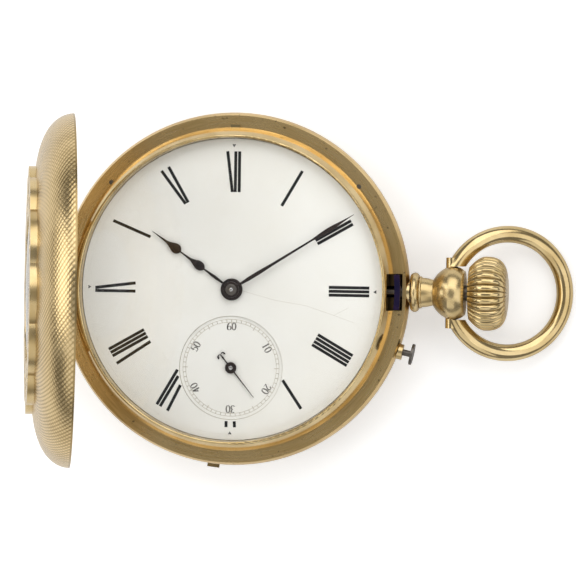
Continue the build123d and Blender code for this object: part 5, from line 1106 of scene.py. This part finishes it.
@dataclass
class Hands:
    """The three hands and the caps on their arbors."""

    finishes: Finishes
    hour_angle: float = math.radians(305.1)
    minute_angle: float = math.radians(57.7)
    seconds_angle: float = math.radians(141.2)
    tail_reach: float = 2.2 * MM
    curl_radius: float = 0.26 * MM
    curl_turn: float = math.radians(215)
    wire_radius: float = 0.07 * MM
    wire_sides: int = 10
    curl_steps: int = 16
    neck_share: float = 0.8
    swell_share: float = 1.4
    hour_widths: Sequence[Pair] = (
        (1.2, 0.32), (1.6, 0.28), (2.3, 0.38), (3.1, 0.44), (4.0, 0.32), (4.85, 0.22), (4.95, 0.6),
        (5.15, 1.0), (5.4, 1.24), (5.75, 1.31), (6.1, 1.2), (6.5, 0.88), (6.9, 0.54), (7.35, 0.34),
        (8.2, 0.24), (9.0, 0.2), (9.1, 0.68), (9.3, 1.12), (9.55, 1.38), (9.85, 1.42), (10.2, 1.28),
        (10.6, 0.92), (11.0, 0.58), (11.4, 0.36), (12.4, 0.22), (14.0, 0.06),
    )
    minute_widths: Sequence[Pair] = (
        (1.0, 0.4), (1.6, 0.34), (3.0, 0.54), (4.6, 0.54), (7.0, 0.38), (13.4, 0.26), (14.2, 0.38),
        (15.2, 0.56), (16.2, 0.64), (17.2, 0.54), (18.2, 0.34), (19.2, 0.18), (20.4, 0.06),
    )
    seconds_widths: Sequence[Pair] = (
        (-2.3, 0.12), (-1.8, 0.26), (-1.5, 0.16), (-0.6, 0.2), (0.6, 0.2), (5.3, 0.06),
    )
    hour_boss: Sequence[Pair] = (
        (1.1, 0.0), (1.5, 0.0), (1.56, 0.06), (1.56, 0.2), (1.45, 0.29), (1.1, 0.3),
    )
    minute_boss: Sequence[Pair] = (
        (0.81, 0.0), (1.1, 0.0), (1.14, 0.1), (1.12, 0.3), (1.0, 0.36), (0.81, 0.36),
    )
    seconds_boss: Sequence[Pair] = ((0.21, 0.0), (0.78, 0.0), (0.82, 0.1), (0.7, 0.2), (0.21, 0.22))
    crowns: Sequence[float] = (0.09, 0.07, 0.03)
    cap_rim: Sequence[Pair] = ((0.78, -0.02), (0.78, 0.03), (0.7, 0.06), (0.34, 0.06))
    cap_pin: Sequence[Pair] = ((0.34, 0.0), (0.3, 0.12), (0.2, 0.17), (0.0, 0.18))
    cap_dot: Sequence[Pair] = (
        (0.3, -0.02), (0.3, 0.02), (0.24, 0.04), (0.14, 0.04), (0.1, 0.0), (0.0, 0.0),
    )

    def build(self) -> None:
        """Makes the hands and caps."""
        middle = Vector((0.0, 0.0, 0.0))
        small = SMALL_DIAL_CENTRE
        rows = (
            ("hour_hand", Body.HOUR, middle, self.hour_angle, self.hour_widths, self.hour_boss),
            ("minute_hand", Body.CENTRE, middle, self.minute_angle, self.minute_widths, self.minute_boss),
            ("seconds_hand", Body.FOURTH, small, self.seconds_angle, self.seconds_widths, self.seconds_boss),
        )
        for (node, body, centre, angle, widths, boss), crown in zip(rows, self.crowns):
            outline = scaled([(reach, width / 2) for reach, width in widths])
            hand = Hand(node + "_blade", node, body, centre, angle, outline, scaled(boss), crown * MM)
            hand.build(self.finishes.hands)
        for side in (-1, 1):
            self._curl(side)
        self._caps()

    def _caps(self) -> None:
        """Covers the two arbors' ends."""
        middle = Vector((0.0, 0.0, 0.0))
        centre_top = max(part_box(node)[1].z for node in ("centre_wheel", "cannon_pinion"))
        fourth_top = max(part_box(node)[1].z for node in ("fourth_wheel", "seconds_hand"))
        steel = self.finishes.steel
        rows = (
            ("centre_cap", Body.CENTRE, middle, centre_top, self.cap_rim, self.finishes.dark_steel),
            ("centre_pin", Body.CENTRE, middle, centre_top, self.cap_pin, steel),
            ("seconds_cap", Body.FOURTH, SMALL_DIAL_CENTRE, fourth_top, self.cap_dot, steel),
        )
        for name, body, centre, level, profile, finish in rows:
            Cap(name, body, centre, level, scaled(profile)).build(finish)

    def _curl(self, side: int) -> None:
        """Adds one of the two curls at the tail of the seconds hand.

        Args:
            side: 1 or -1.
        """
        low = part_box("seconds_hand")[0].z
        middle = side * self.curl_radius
        curl = bmesh.new()
        rim = bmesh.ops.create_circle(
            curl,
            segments=self.wire_sides,
            radius=self.wire_radius,
            matrix=Matrix.Rotation(math.pi / 2, 4, "Y"),
        )["verts"]
        lines = list({edge for vert in rim for edge in vert.link_edges})
        bmesh.ops.spin(
            curl,
            geom=[*rim, *lines],
            cent=(0.0, middle, 0.0),
            axis=(0.0, 0.0, 1.0),
            angle=-side * self.curl_turn,
            steps=self.curl_steps,
        )
        for vert in curl.verts:
            self._taper(vert, middle)
        bmesh.ops.holes_fill(curl, edges=[edge for edge in curl.edges if edge.is_boundary])
        bmesh.ops.translate(curl, verts=curl.verts, vec=(-self.tail_reach, 0.0, self.wire_radius))
        place = hand_place(SMALL_DIAL_CENTRE, low, self.seconds_angle)
        bmesh.ops.transform(curl, matrix=place, verts=curl.verts)
        name = "seconds_curl_" + ("left" if side > 0 else "right")
        Piece.make(name, curl, self.finishes.hands, Body.FOURTH, "dark_blued_steel", smooth=True)

    def _taper(self, vert: bmesh.types.BMVert, middle: float) -> None:
        """Thickens a curl's wire along its run.

        Args:
            vert: a vertex of the wire.
            middle: how far the curl's centre stands from the hand's line.
        """
        arm = Vector((vert.co.x, vert.co.y - middle, 0.0))
        swung = math.atan2(abs(arm.x), -math.copysign(1.0, middle) * arm.y)
        if vert.co.x > 0:
            swung = math.tau - swung
        spot = arm.normalized() * self.curl_radius
        spot.y += middle
        share = min(1.0, swung / self.curl_turn)
        growth = self.neck_share + self.swell_share * share * share
        vert.co.x = spot.x + (vert.co.x - spot.x) * growth
        vert.co.y = spot.y + (vert.co.y - spot.y) * growth


@dataclass
class FlutedCrown:
    """The winding crown: a rounded barrel whose convex ribs run on over its end."""

    finishes: Finishes
    ribs: int = CROWN_RIBS
    steps_a_rib: int = 10
    rib_depth: float = 0.42 * MM
    fade_radius: float = 2.6 * MM
    bore: float = 0.8 * MM
    shoulder_radius: float = 3.75 * MM
    shoulder_pull: float = 0.6 * MM
    side_pull: float = 2.2 * MM
    end_share: float = 0.82
    widest_share: float = 0.44
    foot_share: float = 0.8
    fade_speed: float = 1.6
    point_count: int = 12

    def build(self) -> None:
        """Spins the barrel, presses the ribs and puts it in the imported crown's place."""
        low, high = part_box("crown")
        axis_level = (low.z + high.z) / 2
        radius = (high.z - low.z) / 2
        middle = low.x + (high.x - low.x) * self.widest_share
        first = self._bend(
            (low.x, self.shoulder_radius),
            (low.x + self.shoulder_pull, self.shoulder_radius + self.shoulder_pull),
            (middle - self.side_pull / 2, radius),
            (middle, radius),
        )
        second = self._bend(
            (middle, radius),
            (middle + self.side_pull, radius),
            (high.x, radius * self.end_share),
            (high.x, self.bore),
        )
        foot = (low.x, self.shoulder_radius * self.foot_share)
        profile = [(low.x, self.bore), foot, *first, *second[1:], (high.x, 0.0)]
        barrel = bmesh.new()
        spin_profile(barrel, profile, self.ribs * self.steps_a_rib, EAST)
        for vert in barrel.verts:
            self._press(vert)
        bmesh.ops.translate(barrel, verts=barrel.verts, vec=(0.0, 0.0, axis_level))
        made = Piece.make(
            "crown_barrel", barrel, self.finishes.ribbed_gold, Body.CROWN, "yellow_gold", smooth=True
        )
        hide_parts("crown")

    def _bend(self, *handles: Pair) -> list[Pair]:
        """Points of a smooth bend through four handles."""
        knots = [Vector((*handle, 0.0)) for handle in handles]
        found = interpolate_bezier(*knots, self.point_count)
        return [(spot.x, spot.y) for spot in found]

    def _press(self, vert: bmesh.types.BMVert) -> None:
        """Draws a vertex in towards the axis between two ribs."""
        out = math.hypot(vert.co.y, vert.co.z)
        if out <= self.fade_radius:
            return
        turn = math.atan2(vert.co.y, vert.co.z)
        groove = 1 - abs(math.cos(turn * self.ribs / 2))
        fade = min(1.0, (out - self.fade_radius) / self.fade_radius * self.fade_speed)
        share = 1 - self.rib_depth * groove * groove * fade / out
        vert.co.y *= share
        vert.co.z *= share


@dataclass
class Studio:
    """The table, the soft panels, the world and the camera at the photograph's angle."""

    target: Vector = field(default_factory=lambda: Vector((7.95 * MM, 0.34 * MM, 9.7 * MM)))
    lean_right: float = math.radians(6.6)
    lean_up: float = math.radians(1.6)
    roll: float = math.radians(1.1)
    distance: float = 1.0
    scale: float = 7.08
    world_strength: float = 0.24
    floor_colour: Colour = (0.93, 0.93, 0.93)
    floor_lift: float = 0.34
    panel_distance: float = 0.95
    panel_size: float = 0.9
    table_size: float = 5.0
    table_roughness: float = 0.9
    sensor_width: float = 36.0
    near_clip: float = 0.05
    far_clip: float = 30.0
    panels: Sequence[tuple[str, float, float, float]] = (
        ("left_panel", 170.0, 42.0, 4.9),
        ("upper_panel", 80.0, 46.0, 4.2),
        ("right_panel", -10.0, 44.0, 2.6),
        ("lower_panel", -100.0, 46.0, 1.8),
    )

    def build(self) -> None:
        """Makes the whole set."""
        self._floor()
        self._world()
        for name, bearing, height, power in self.panels:
            self._panel(name, math.radians(bearing), math.radians(height), power)
        self._camera()
        bpy.context.scene.view_settings.view_transform = "Standard"

    def _floor(self) -> None:
        """A plain pale table that reads white and keeps the watch's shadow."""
        sheet = bmesh.new()
        bmesh.ops.create_grid(sheet, x_segments=8, y_segments=8, size=self.table_size)
        data = bpy.data.meshes.new("table")
        sheet.to_mesh(data)
        sheet.free()
        table = bpy.data.objects.new("table", data)
        bpy.context.scene.collection.objects.link(table)
        recipe = Recipe("pale_table")
        recipe.set(Base_Color=(*self.floor_colour, 1.0), Roughness=self.table_roughness)
        path = recipe.add("ShaderNodeLightPath").outputs
        seen = recipe.math("MAXIMUM", path["Is Camera Ray"], path["Is Transmission Ray"])
        lift = recipe.math("MULTIPLY", seen, self.floor_lift)
        glow = recipe.add("ShaderNodeEmission", inputs={"Strength": lift})
        both = recipe.add("ShaderNodeAddShader", inputs={0: recipe.shader.outputs[0], 1: glow.outputs[0]})
        recipe.tree.links.new(both.outputs[0], recipe.output.inputs["Surface"])
        data.materials.append(recipe.material)

    def _world(self) -> None:
        """An even pale surround."""
        world = bpy.data.worlds.new("studio")
        world.use_nodes = True
        bpy.context.scene.world = world
        ground = world.node_tree.nodes["Background"]
        ground.inputs["Color"].default_value = (1.0, 1.0, 1.0, 1.0)
        ground.inputs["Strength"].default_value = self.world_strength

    def _panel(self, name: str, bearing: float, height: float, power: float) -> None:
        """A large square soft panel that faces the watch.

        Args:
            name: its name.
            bearing: its direction, turning left from +X.
            height: its height above the table, as an angle.
            power: its power in watts.
        """
        light = bpy.data.lights.new(name, "AREA")
        light.size = self.panel_size
        light.energy = power
        lamp = bpy.data.objects.new(name, light)
        level = math.cos(height)
        place = Vector((math.cos(bearing) * level, math.sin(bearing) * level, math.sin(height)))
        lamp.location = place * self.panel_distance
        lamp.rotation_euler = (-place).to_track_quat("-Z", "Y").to_euler()
        bpy.context.scene.collection.objects.link(lamp)

    def _camera(self) -> None:
        """The camera, almost straight above the dial."""
        back = Vector((math.tan(self.lean_right), math.tan(self.lean_up), 1.0)).normalized()
        data = bpy.data.cameras.new("camera")
        data.sensor_width = self.sensor_width
        data.lens = self.sensor_width * self.distance * self.scale / (IMAGE_PIXELS * MM)
        data.clip_start = self.near_clip
        data.clip_end = self.far_clip
        camera = bpy.data.objects.new("camera", data)
        bpy.context.scene.collection.objects.link(camera)
        right = Vector((math.cos(self.roll), math.sin(self.roll), 0.0))
        up = back.cross(right).normalized()
        turn = Matrix((up.cross(back), up, back)).transposed()
        camera.matrix_world = Matrix.Translation(self.target + back * self.distance) @ turn.to_4x4()
        bpy.context.scene.camera = camera


@dataclass
class Watch:
    """The whole watch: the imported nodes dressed, and the pieces made here."""

    frame: Mapping[str, Any]
    lid_angle: float = math.radians(80.0)
    lid_reach: float = 23.5 * MM
    lid_rise: float = 0.3 * MM
    hinge: Vector = field(default_factory=lambda: Vector((-23.5 * MM, 0.0, 8.2 * MM)))
    rim_radius: float = 24.6 * MM
    back_level: float = 5.1 * MM

    def lid_centre(self) -> Vector:
        """The centre of the open lid's rim."""
        along = Vector((math.cos(self.lid_angle), 0.0, math.sin(self.lid_angle)))
        normal = Vector((-math.sin(self.lid_angle), 0.0, math.cos(self.lid_angle)))
        return self.hinge + along * self.lid_reach + normal * self.lid_rise

    def build(self) -> None:
        """Dresses the nodes and makes the new pieces."""
        centre = self.lid_centre()
        finishes = Finishes(centre, self.lid_angle, self.rim_radius, self.back_level)
        for node, material in finishes.table().items():
            thing = self.frame["nodes"][node]
            thing.data.materials.clear()
            thing.data.materials.append(material)
        LOG.info("dressed %d nodes", len(finishes.table()))
        MainDial(finishes).build()
        SmallDial(finishes).build()
        LidNumerals(finishes, centre, self.lid_angle).build()
        Hands(finishes).build()
        FlutedCrown(finishes).build()


def main() -> None:
    """Builds the scene."""
    logging.basicConfig(level=logging.INFO)
    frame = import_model()
    Watch(frame).build()
    Studio().build()


if __name__ == "__main__":
    main()
